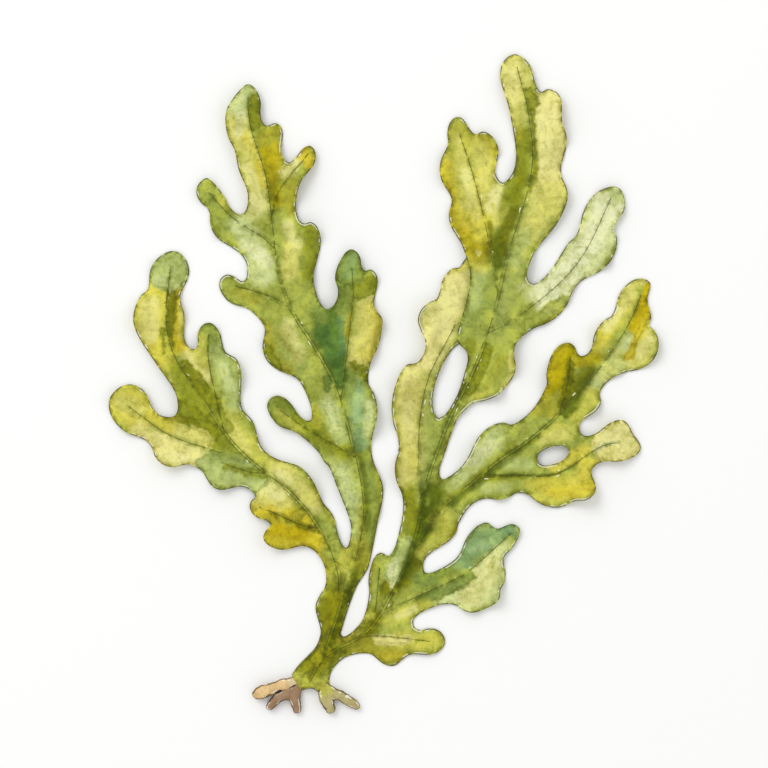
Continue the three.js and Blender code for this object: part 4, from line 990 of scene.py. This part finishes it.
def margin_distance(points, own, other):
    """Distance to the plant's margin, for a sheet whose joint with the other sheet is no margin."""
    distance = distance_from(points, own)
    distance = np.minimum(distance, distance_from(points, as_closed(WINDOW_LOOP)))
    low = other[other[:, 1] < JOINT_REACH]
    gaps = np.flatnonzero(np.hypot(*np.diff(low, axis=0).T) > 2 * MARGIN_STEP) + 1
    for stretch in np.split(low, gaps):
        if len(stretch) > 1:
            distance = np.minimum(distance, distance_from(points, stretch))
    return distance


def rib_relief(points, lines):
    """How far each rib stands over the blade, and the distance to the nearest rib, with that rib's
    half width."""
    relief = np.zeros(len(points))
    nearest = np.full(len(points), float(WIDEST))
    width = np.ones(len(points))
    for kind, line in lines:
        wide, high = RIB_SIZES[kind]
        distance, along, _ = distance_to(points, line, WIDEST)
        half = wide[0] + (wide[1] - wide[0]) * along
        over = 2 * (high[0] + (high[1] - high[0]) * along) - BLADE_THICKNESS
        relief = np.maximum(relief, over * (1 - smoothstep(distance / half, *RIB_SLOPE)))
        closer = distance < nearest
        nearest[closer] = distance[closer]
        width[closer] = half[closer]
    return relief, nearest, width


def freedom(x, y):
    """How far the blade can lift off the floor: 0 at the main fork, and 1 well away from it."""
    return smoothstep(np.hypot(x - MAIN_FORK[0], y - MAIN_FORK[1]), FLAT_RADIUS, LOOSE_RADIUS)


def loose_height(points):
    """Height of the underside over the floor, before the overlap of the inner blade."""
    x, y = points.T
    from_rib = np.full(len(points), float(WIDEST))
    for _, line in [*RIB_LINES.values(), INNER_RIB_LINE]:
        from_rib = np.minimum(from_rib, distance_from(points, line))
    wing = smoothstep(from_rib, RIB_REACH, WING_REACH)
    arch = ARCH["height"] * np.sin(x / ARCH["x"] + ARCH["shift_x"]) * np.sin(y / ARCH["y"] + ARCH["shift_y"])
    ruffle_x = np.sin(x / RUFFLE["x"] + np.sin(y / RUFFLE["sway_y"]))
    ruffle_y = np.cos(y / RUFFLE["y"] + np.sin(x / RUFFLE["sway_x"]))
    ruffle = 1 + RUFFLE["height"] * ruffle_x * ruffle_y
    lifted = RESTING_HEIGHT + arch + wing * ruffle
    soft = 0.5 * (lifted + np.sqrt(lifted**2 + SETTLING**2))  # a smooth version of max(0, lifted)
    return freedom(x, y) * soft


def near_overlap(points):
    """1 where the inner blade lies under the tall right branch, fading to 0."""
    return 1 - smoothstep(distance_from(points, OVERLAP), OVERLAP_CORE, OVERLAP_FADE)


def upper_height(points):
    """Height of the plant's underside, which lifts over the end of the inner blade."""
    return np.maximum(loose_height(points), OVERLAP_RISE * near_overlap(points))


def inner_height(points):
    """Height of the inner blade's underside, whose end is pressed to the floor."""
    return loose_height(points) * (1 - near_overlap(points))


def stroke_cover(points, width, path, crisp, wander):
    """How much of each point one stroke covers, and how much of its dried rim is there."""
    broad, ragged = wander
    distance = distance_to(points, path, 2 * width + BRUSH_MARGIN)[0]
    if not crisp:
        return 1 - smoothstep(distance / width + SOFT_WANDER * broad, *SOFT_EDGE), 0
    past_edge = distance - width + CRISP_WANDER * ragged + broad
    rim = 1 - smoothstep(np.abs(past_edge + RIM_INSET), 0.0, RIM_WIDTH)
    return 1 - smoothstep(past_edge, *CRISP_EDGE), rim


def painted(points, washes):
    """The blade's colour at each point: washes laid one over the other, with wandering edges, and how
    much of a dark rim the crisp ones have dried with."""
    colour = np.tile(np.array(PAINT["leaf"]), (len(points), 1))
    tide = np.zeros(len(points))
    wander = noise_at(points, *BROAD_NOISE), noise_at(points, *RAGGED_NOISE)
    left_of = {}
    for paint, strength, width, path, *how in washes:
        crisp = "crisp" in how
        inside, rim = stroke_cover(points, width, path, crisp, wander)
        lies = 1
        for side, rib in [stop.split() for stop in how if stop != "crisp"]:
            if rib not in left_of:
                away, _, turn = distance_to(points, ALL_RIB_LINES[rib][1], WIDEST)
                left_of[rib] = away * turn
            lies = smoothstep(left_of[rib] if side == "left" else -left_of[rib], *RIB_STOP)
        covered = strength * (inside * lies)
        colour += covered[:, None] * (np.array(PAINT[paint]) - colour)
        tide *= 1 - covered
        if crisp:
            tide = np.maximum(tide, strength * rim * lies)
    return colour, tide


def flat_points(loop, windows, lines):
    """Points for a sheet: a triangular grid inside the loop that keeps off the margins and the lines."""
    low, high = loop.min(0), loop.max(0)
    row_step = SPACING * math.sqrt(0.75)  # the height of a triangle with even sides
    rows = np.arange(low[1], high[1], row_step)
    columns = np.arange(low[0], high[0], SPACING)
    grid = np.array([(x + SPACING / 2 * (n % 2), y) for n, y in enumerate(rows) for x in columns])
    clear = is_inside(grid, loop)
    for line in [as_closed(loop), *[as_closed(window) for window in windows], *lines]:
        clear &= distance_to(grid, line, SPACING)[0] > LINE_CLEARANCE * SPACING
    for window in windows:
        clear &= ~is_inside(grid, window)
    return grid[clear]


def triangulated(name, points, edges, seam_edges, loop, windows):
    """A flat mesh over the points, within the loop, that keeps the given edges and marks its seams."""
    flat = [Vector((float(x), float(y))) for x, y in points]
    corners, made_edges, faces, _, edge_sources, _ = delaunay_2d_cdt(flat, edges, [], WHOLE_HULL, SAME_POINT)
    corners = np.array([(v.x, v.y) for v in corners])
    centres = corners[np.array([face[:3] for face in faces])].mean(1)
    kept = is_inside(centres, loop)
    for window in windows:
        kept &= ~is_inside(centres, window)
    mesh = bpy.data.meshes.new(name)
    rows = [faces[n] for n in np.flatnonzero(kept)]
    mesh.from_pydata([(x, y, 0) for x, y in corners], [], rows)
    cut = {tuple(sorted(made_edges[n])) for n, source in enumerate(edge_sources) if seam_edges & set(source)}
    for edge in mesh.edges:
        edge.use_seam = tuple(sorted(edge.vertices)) in cut
    return mesh


def flat_sheet(name, loop, windows, ribs, seams):
    """A flat object of even triangles within the loop, with its edges along ribs and marked seams."""
    points, edges, seam_edges = [], [], set()

    def add_line(line, closed, seam):
        """Adds the line's points, and the edges between them."""
        first = len(points)
        points.extend(line)
        last = len(line) if closed else len(line) - 1
        for n in range(last):
            if seam:
                seam_edges.add(len(edges))
            edges.append((first + n, first + (n + 1) % len(line)))

    for ring in [loop, *windows]:
        add_line(ring, True, False)
    for rib in ribs:
        add_line(rib, False, False)
    seams = [straight_through(seam, SPACING) for seam in seams]
    for seam in seams:
        add_line(seam, False, True)
    points.extend(flat_points(loop, windows, [*ribs, *seams]))
    mesh = triangulated(name, points, edges, seam_edges, loop, windows)
    sheet = bpy.data.objects.new(name, mesh)
    bpy.context.scene.collection.objects.link(sheet)
    work_on(sheet)
    bpy.ops.object.mode_set(mode="EDIT")
    bpy.ops.mesh.select_all(action="SELECT")
    bpy.ops.mesh.delete_loose()
    bpy.ops.mesh.select_all(action="SELECT")
    bpy.ops.mesh.normals_make_consistent(inside=False)
    bpy.ops.object.mode_set(mode="OBJECT")
    if mesh.polygons[0].normal.z < 0:
        mesh.flip_normals()
    return sheet


def work_on(thing):
    """Makes one object the only one selected, and the active one."""
    bpy.ops.object.select_all(action="DESELECT")
    thing.select_set(True)
    bpy.context.view_layer.objects.active = thing


def apply_modifier(thing, kind, **settings):
    """Adds a modifier to the active object, with its settings, and applies it."""
    modifier = thing.modifiers.new(kind.title(), kind)
    for name, setting in settings.items():
        setattr(modifier, name, setting)
    bpy.ops.object.modifier_apply(modifier=modifier.name)


def values_of(items, name, width, kind=np.float32):
    """One property of every item of a mesh, a row for each."""
    values = np.empty(len(items) * width, kind)
    items.foreach_get(name, values)
    return values.reshape(-1, width) if width > 1 else values


def places(mesh):
    """Where the mesh's points are."""
    return values_of(mesh.vertices, "co", 3).astype(float)


def set_places(mesh, place):
    """Moves the mesh's points."""
    mesh.vertices.foreach_set("co", place.astype(np.float32).ravel())
    mesh.update()


def vertex_normals(mesh):
    """Which way the surface faces at each point of the mesh."""
    return values_of(mesh.vertex_normals, "vector", 3)


def set_attribute(mesh, name, values, kind="FLOAT", field="value"):
    """Keeps a value with each point of the mesh."""
    layer = mesh.attributes.new(name, kind, "POINT")
    layer.data.foreach_set(field, np.asarray(values, np.float32).ravel())


def shape_sheet(sheet, own, other, ribs, height, washes):
    """Gives a flat sheet its height, ribs and thickness, and paints its points."""
    mesh = sheet.data
    flat = places(mesh)[:, :2]
    edge = margin_distance(flat, own, other)
    relief, rib, rib_width = rib_relief(flat, ribs)
    relief = np.maximum(relief, rib_relief(flat, [("crown", CROWN_LINE)])[0])
    crinkle = noise_at(flat, CRINKLE_NOISE) * smoothstep(rib, *CRINKLE_FROM_RIB)
    crinkle *= 1 - CRINKLE_FADE * smoothstep(edge, 0, CRINKLE_REACH)
    crinkle += CRINKLE_LIFT * CRINKLE_NOISE[0]
    floor_side = np.maximum(FLOOR_GAP, height(flat) + freedom(*flat.T) * crinkle)
    thickness = MARGIN_THICKNESS + (BLADE_THICKNESS - MARGIN_THICKNESS) * smoothstep(edge, 0, MARGIN_TAPER)
    top = floor_side + thickness + relief * smoothstep(edge, 0, RIB_MARGIN)
    set_places(mesh, np.column_stack([flat, top]))
    colour, tide = painted(flat, washes)
    opaque = np.ones(len(flat))
    set_attribute(mesh, "floor_side", floor_side)
    set_attribute(mesh, "edge_mm", edge)
    set_attribute(mesh, "rib_mm", rib)
    set_attribute(mesh, "rib_wide", rib_width)
    set_attribute(mesh, "tide", tide)
    set_attribute(mesh, "wash", np.column_stack([colour, opaque]), "FLOAT_COLOR", "color")
    set_attribute(mesh, "smooth_normal", vertex_normals(mesh), "FLOAT_VECTOR", "vector")


def part_at(sheet, spot):
    """Separates from the sheet what is around a spot, up to the seams, and returns it."""
    work_on(sheet)
    centres = np.array([face.center[:2] for face in sheet.data.polygons])
    seed = int(np.hypot(*(centres - spot).T).argmin())
    bpy.ops.object.mode_set(mode="EDIT")
    bpy.ops.mesh.select_mode(type="FACE")
    bpy.ops.mesh.select_all(action="DESELECT")
    bpy.ops.object.mode_set(mode="OBJECT")
    sheet.data.polygons[seed].select = True
    bpy.ops.object.mode_set(mode="EDIT")
    bpy.ops.mesh.select_linked(delimit={"SEAM"})
    before = set(bpy.data.objects)
    bpy.ops.mesh.separate(type="SELECTED")
    bpy.ops.object.mode_set(mode="OBJECT")
    return next(thing for thing in bpy.data.objects if thing not in before)


def thicken(piece):
    """Turns a piece of sheet into a closed blade and moves it to its place in the frame."""
    work_on(piece)
    count = len(piece.data.vertices)
    apply_modifier(piece, "SOLIDIFY", thickness=BLADE_THICKNESS, offset=-1)
    mesh = piece.data
    place = places(mesh)
    place[count:, :2] = place[:count, :2]
    place[count:, 2] = values_of(mesh.attributes["floor_side"].data, "value", 1)[:count]
    place[:, :2] += SHIFT
    set_places(mesh, place * MM)
    keep_sheet_normals(mesh)


def keep_sheet_normals(mesh):
    """Shades the piece as part of the whole plant, so that no seam shows where it meets its neighbour."""
    whole = values_of(mesh.attributes["smooth_normal"].data, "vector", 3)
    faces = values_of(mesh.polygon_normals, "vector", 3)
    corner = values_of(mesh.loops, "vertex_index", 1, np.int32)
    sizes = values_of(mesh.polygons, "loop_total", 1, np.int32)
    owner = np.repeat(np.arange(len(mesh.polygons)), sizes)
    facing = (faces[owner] * whole[corner]).sum(1)
    turned = whole[corner] * np.sign(facing)[:, None]
    normals = np.where(np.abs(facing)[:, None] > RIM_FACING, turned, faces[owner])
    mesh.attributes.remove(mesh.attributes["smooth_normal"])
    mesh.shade_smooth()
    mesh.normals_split_custom_set(normals.tolist())


class Value:
    """A socket of a material, with arithmetic that adds the Math nodes it stands for."""

    def __init__(self, finish, socket):
        self.finish = finish
        self.socket = socket

    def maths(self, operation, *values):
        """A Math node's result."""
        return self.finish.node("ShaderNodeMath", dict(operation=operation), dict(enumerate(values)))

    def __add__(self, other):
        return self.maths("ADD", self, other)

    def __radd__(self, other):
        return self.maths("ADD", other, self)

    def __sub__(self, other):
        return self.maths("SUBTRACT", self, other)

    def __rsub__(self, other):
        return self.maths("SUBTRACT", other, self)

    def __mul__(self, other):
        return self.maths("MULTIPLY", self, other)

    def __rmul__(self, other):
        return self.maths("MULTIPLY", other, self)

    def __truediv__(self, other):
        return self.maths("DIVIDE", self, other)

    def __rtruediv__(self, other):
        return self.maths("DIVIDE", other, self)

    def size(self):
        """The value without its sign."""
        return self.maths("ABSOLUTE", self)

    def over(self, low, high):
        """0 below low, 1 above high and a smooth rise between. It falls where low is more than high."""
        rising = low < high
        reach = dict(zip(("From Min", "From Max"), (low, high) if rising else (high, low)))
        ends = {"To Min": 0.0 if rising else 1.0, "To Max": 1.0 if rising else 0.0}
        settings = dict(interpolation_type="SMOOTHSTEP")
        return self.finish.node("ShaderNodeMapRange", settings, {"Value": self, **reach, **ends})


class Finish:
    """A material being made. Every node comes from node()."""

    def __init__(self, name):
        self.material = bpy.data.materials.new(name)
        self.material.use_nodes = True
        self.tree = self.material.node_tree
        self.tree.nodes.clear()
        self.place = self.node("ShaderNodeTexCoord", {}, {}, "Object")

    def node(self, kind, settings, inputs, output=0):
        """Adds a node with its settings and the values or links of its sockets."""
        made = self.tree.nodes.new(kind)
        for name, setting in settings.items():
            setattr(made, name, setting)
        for name, value in inputs.items():
            if isinstance(value, Value):
                self.tree.links.new(value.socket, made.inputs[name])
            else:
                made.inputs[name].default_value = value
        return Value(self, made.outputs[output]) if made.outputs else None

    def attribute(self, name, output="Fac"):
        """What is kept with the mesh's points under a name."""
        return self.node("ShaderNodeAttribute", dict(attribute_name=name), {}, output)

    def noise(self, size, detail, roughness=0.5, distortion=0.0):
        """Noise from 0 to 1 with features of a size in metres."""
        inputs = {"Vector": self.place, "Scale": 1 / size, "Detail": detail}
        inputs.update({"Roughness": roughness, "Distortion": distortion})
        return self.node("ShaderNodeTexNoise", {}, inputs)

    def mix(self, factor, under, over, blend="MIX"):
        """One colour laid over another."""
        settings = dict(data_type="RGBA", blend_type=blend)
        inputs = {0: factor, 6: as_rgba(under), 7: as_rgba(over)}
        return self.node("ShaderNodeMix", settings, inputs, 2)

    def bump(self, height, distance, strength):
        """A normal that follows a height, at a distance in metres."""
        inputs = {"Height": height, "Distance": distance, "Strength": strength}
        return self.node("ShaderNodeBump", {}, inputs)

    def surface(self, inputs):
        """Ends the material with its shader."""
        shader = self.node("ShaderNodeBsdfPrincipled", {}, inputs)
        self.node("ShaderNodeOutputMaterial", {}, {"Surface": shader})
        return self.material


def as_rgba(colour):
    """A colour of three parts with its alpha, and any link as it is."""
    return colour if isinstance(colour, Value) else (*colour, 1.0)


def seaweed_finish(name):
    """Watercolour washes on a leathery blade, from what is painted on the mesh's points."""
    finish = Finish(name)
    patch = finish.noise(0.03, 2)
    blotch = finish.noise(0.011, 4, 0.62, 0.6)
    pool = finish.noise(0.0036, 4, 0.62, 0.5)
    grain = finish.noise(0.0014, 2, 0.6)
    broken = finish.noise(0.0032, 1)
    edge = finish.attribute("edge_mm")
    rib = finish.attribute("rib_mm")
    rib_wide = finish.attribute("rib_wide")
    colour = finish.attribute("wash", "Color")
    # the wash is mottled, lighter here and deeper there
    lighter = blotch.over(0.5, 0.4) * 0.32 + pool.over(0.48, 0.36) * 0.24 + grain.over(0.42, 0.3) * 0.2
    colour = finish.mix(lighter, colour, TINT["light"], "SOFT_LIGHT")
    deeper = blotch.over(0.5, 0.6) * 0.32 + pool.over(0.5, 0.62) * 0.36 + grain.over(0.54, 0.68) * 0.34
    colour = finish.mix(deeper, colour, TINT["deep"], "MULTIPLY")
    # paint has pooled along the margins, at the dried rims and beside the ribs
    pooled = edge.over(2.4, 0.4) * pool.over(0.4, 0.54) * 0.7 + finish.attribute("tide") * 0.7
    colour = finish.mix(pooled, colour, TINT["pooled"], "MULTIPLY")
    band = (rib / rib_wide).over(1.8, 0.3) * (blotch * 0.5 + pool).over(0.62, 0.85)
    colour = finish.mix(band * 0.5, colour, TINT["beside_rib"], "MULTIPLY")
    # painted highlights: pale glints, in broken dashes, beside the wider ribs
    beside = (rib - 1.1).size().over(0.34, 0.16) * rib_wide.over(0.9, 1.1)
    glint = beside * (patch * 0.6 + broken * 0.6).over(0.735, 0.765)
    colour = finish.mix(glint * 0.9, colour, TINT["glint"])
    # the ribs are drawn as one thin line, and in places as two
    doubled = rib_wide.over(1.2, 1.5) * rib_wide.over(3.5, 3.2) * patch.over(0.4, 0.48)
    drawn = (rib - 0.62).size().over(0.3, 0.12) * doubled
    drawn = drawn + rib.over(0.32, 0.12) * (1 - doubled)
    drawn = drawn * (broken + pool * 0.4).over(0.5, 0.62)
    colour = finish.mix(drawn * 0.72, colour, TINT["rib_line"])
    # the margin is a broken dark line, with a pale gap inside it in places
    gap = edge.over(1.1, 0.85) * edge.over(0.34, 0.5) * (patch * 0.8 + broken * 0.5).over(0.72, 0.77)
    colour = finish.mix(gap * 0.65, colour, TINT["gap"])
    margin_line = edge.over(0.64, 0.28) * (grain * 0.6 + broken).over(0.7, 0.85)
    colour = finish.mix(margin_line * 0.85, colour, TINT["margin_line"])
    bumps = finish.bump(pool * 0.6 + grain * 0.25, 0.0003, 0.3)
    roughness = 0.46 + pool * 0.2
    return finish.surface(surface_inputs(colour, roughness, bumps))


def claw_finish(name, paint, root_paint):
    """The holdfast's claws: a wash that changes away from the stalk, with dark, broken sides."""
    finish = Finish(name)
    pool = finish.noise(0.004, 3, 0.6, 0.3)
    grain = finish.noise(0.0009, 2, 0.6)
    broken = finish.noise(0.003, 1)
    edge = finish.attribute("side")
    away = finish.attribute("from_stalk") + (pool - 0.5) * 6.0
    colour = finish.mix(away.over(4.0, 8.5), PAINT[root_paint], PAINT[paint])
    colour = finish.mix(pool.over(0.4, 0.7) * 0.45, colour, TINT["claw_pool"], "MULTIPLY")
    colour = finish.mix(grain.over(0.45, 0.75) * 0.3, colour, TINT["claw_grain"], "MULTIPLY")
    pale = edge.over(0.14, 0.22) * edge.over(0.4, 0.32) * broken.over(0.52, 0.58)
    colour = finish.mix(pale * 0.8, colour, TINT["claw_gap"])
    sides = edge.over(0.34, 0.42) * (broken + grain * 0.3).over(0.4, 0.5)
    colour = finish.mix(sides * 0.85, colour, TINT["claw_side"])
    bumps = finish.bump(pool * 0.6 + grain * 0.3, 0.0004, 0.4)
    return finish.surface(surface_inputs(colour, 0.5 + pool * 0.2, bumps))


def surface_inputs(colour, roughness, bumps):
    """What a finish of the plant gives its shader."""
    return {"Base Color": colour, "Roughness": roughness, "Normal": bumps, "Specular IOR Level": SHEEN}


def deliver(piece, nodes, material):
    """Hands a finished piece over: its finish, the nodes it stands for and the body it rides on."""
    piece.data.materials.clear()
    piece.data.materials.append(material)
    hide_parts(*nodes)
    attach(piece, "root")


def deliver_blades(sheet, pieces, material):
    """Parts a sheet into its pieces, makes each a closed blade and hands it over."""
    for name, piece in pieces.items():
        part = part_at(sheet, piece["spot"])
        part.name = name
        thicken(part)
        deliver(part, piece["nodes"], material)
    bpy.data.objects.remove(sheet)


def claw_skin(name, toes):
    """A skin over the lines of the claw's toes, remeshed to one closed form."""
    bpy.ops.object.select_all(action="DESELECT")
    bpy.ops.mesh.primitive_plane_add(size=1)
    claw = bpy.context.active_object
    claw.name = name
    bpy.ops.object.mode_set(mode="EDIT")
    bpy.ops.mesh.delete(type="VERT")
    bpy.ops.object.mode_set(mode="OBJECT")
    points, edges, radii, roots = [], [], [], []
    for toe in toes:
        roots.append(len(points))
        for n, (x, y, half) in enumerate(curve_through(toe, False, CLAW_STEP)):
            points.append(((x + SHIFT[0]) * MM, (y + SHIFT[1]) * MM, half * MM))
            radii.append(half * MM)
            if n:
                edges.append((len(points) - 2, len(points) - 1))
    claw.data.from_pydata(points, edges, [])
    work_on(claw)
    skin = claw.modifiers.new("Flesh", "SKIN")
    for n, (vertex, radius) in enumerate(zip(claw.data.skin_vertices[0].data, radii)):
        vertex.radius = (radius, radius)
        vertex.use_root = n in roots
    bpy.ops.object.modifier_apply(modifier=skin.name)
    apply_modifier(claw, "SUBSURF", levels=CLAW_ROUNDING, render_levels=CLAW_ROUNDING)
    apply_modifier(claw, "REMESH", mode="VOXEL", voxel_size=CLAW_VOXEL)
    apply_modifier(claw, "SMOOTH", iterations=CLAW_SMOOTHING)
    return claw


def make_claw(name, toes, material, node):
    """A claw of the holdfast, flattened and knobbly, with its sides wandering a little."""
    claw = claw_skin(name, toes)
    mesh = claw.data
    place = places(mesh)
    flat = place[:, :2] / MM - SHIFT
    outwards = vertex_normals(mesh)[:, :2]
    place[:, :2] += CLAW_SWELLINGS * MM * noise_at(flat, *CLAW_SIDE_NOISE)[:, None] * outwards
    from_stalk = np.hypot(flat[:, 0] - toes[0][0][0], flat[:, 1] - toes[0][0][1])
    knobs = CLAW_KNOBS * noise_at(flat, CLAW_KNOB_NOISE) * smoothstep(from_stalk, *CLAW_KNOBS_FROM)
    height = CLAW_ROOT_HEIGHT + CLAW_ROOT_RISE * smoothstep(from_stalk, *CLAW_ROOT_FROM)
    place[:, 2] *= CLAW_FLATNESS * (1 + knobs) * height
    place[:, 2] += CLAW_FLOOR_GAP - place[:, 2].min()
    set_places(mesh, place)
    set_attribute(mesh, "side", 1 - np.abs(vertex_normals(mesh)[:, 2]))
    set_attribute(mesh, "from_stalk", from_stalk)
    mesh.shade_smooth()
    deliver(claw, [node], material)


# The blades: one sheet for the plant, and one for the inner blade that runs under it
low_inner_rib = INNER_RIB_LINE[1][INNER_RIB_LINE[1][:, 1] < SEAM_HEIGHT - SPACING]
upper_lines = [line for _, line in UPPER_RIBS] + [low_inner_rib]
upper = flat_sheet("upper_sheet", MARGIN_LOOP, [WINDOW_LOOP], upper_lines, SEAMS + [INNER_SEAM])
inner = flat_sheet("inner_sheet", INNER_LOOP, [], [INNER_RIB_LINE[1]], [INNER_SEAM])
upper_ribs = UPPER_RIBS + [INNER_RIB_LINE]
inner_ribs = [RIB_LINES["tall_right"], INNER_RIB_LINE]
shape_sheet(upper, UPPER_MARGIN, INNER_MARGIN, upper_ribs, upper_height, UPPER_WASHES + JOINT_WASHES)
shape_sheet(inner, INNER_MARGIN, UPPER_MARGIN, inner_ribs, inner_height, INNER_WASHES + JOINT_WASHES)
blade_finish = seaweed_finish("seaweed")
deliver_blades(upper, BLADE_PIECES, blade_finish)
deliver_blades(inner, INNER_PIECES, blade_finish)

for name, claw in CLAWS.items():
    finish = claw_finish(name, claw["paint"], claw["root_paint"])
    make_claw(name, claw["toes"], finish, claw["node"])

# The studio: a pale floor, soft light and a camera that looks straight down
bpy.ops.object.select_all(action="DESELECT")
bpy.ops.mesh.primitive_plane_add(size=FLOOR_SIZE, location=(0, 0, -FLOOR_DROP))
floor = bpy.context.active_object
floor.name = "floor"
paper = Finish("paper")
floor.data.materials.append(paper.surface({"Base Color": FLOOR_COLOUR, "Roughness": FLOOR_ROUGHNESS}))

world = bpy.data.worlds.new("studio")
bpy.context.scene.world = world
world.use_nodes = True
world.node_tree.nodes["Background"].inputs["Color"].default_value = (1, 1, 1, 1)
world.node_tree.nodes["Background"].inputs["Strength"].default_value = WORLD_LIGHT
bpy.ops.object.light_add(type="AREA", location=LAMP_PLACE)
lamp = bpy.context.active_object
lamp.data.size = LAMP_SIZE
lamp.data.energy = LAMP_POWER
lamp.rotation_euler = (Vector((0, 0, 0)) - Vector(LAMP_PLACE)).to_track_quat("-Z", "Y").to_euler()

bpy.ops.object.camera_add(location=(SHIFT[0] * MM, (SHIFT[1] - PICTURE_MIDDLE) * MM, CAMERA_HEIGHT))
camera = bpy.context.active_object
camera.data.sensor_width = SENSOR_WIDTH
camera.data.lens = SENSOR_WIDTH * CAMERA_HEIGHT / PICTURE_WIDTH
camera.data.clip_end = FARTHEST_SEEN
bpy.context.scene.camera = camera
bpy.context.scene.view_settings.view_transform = "Standard"
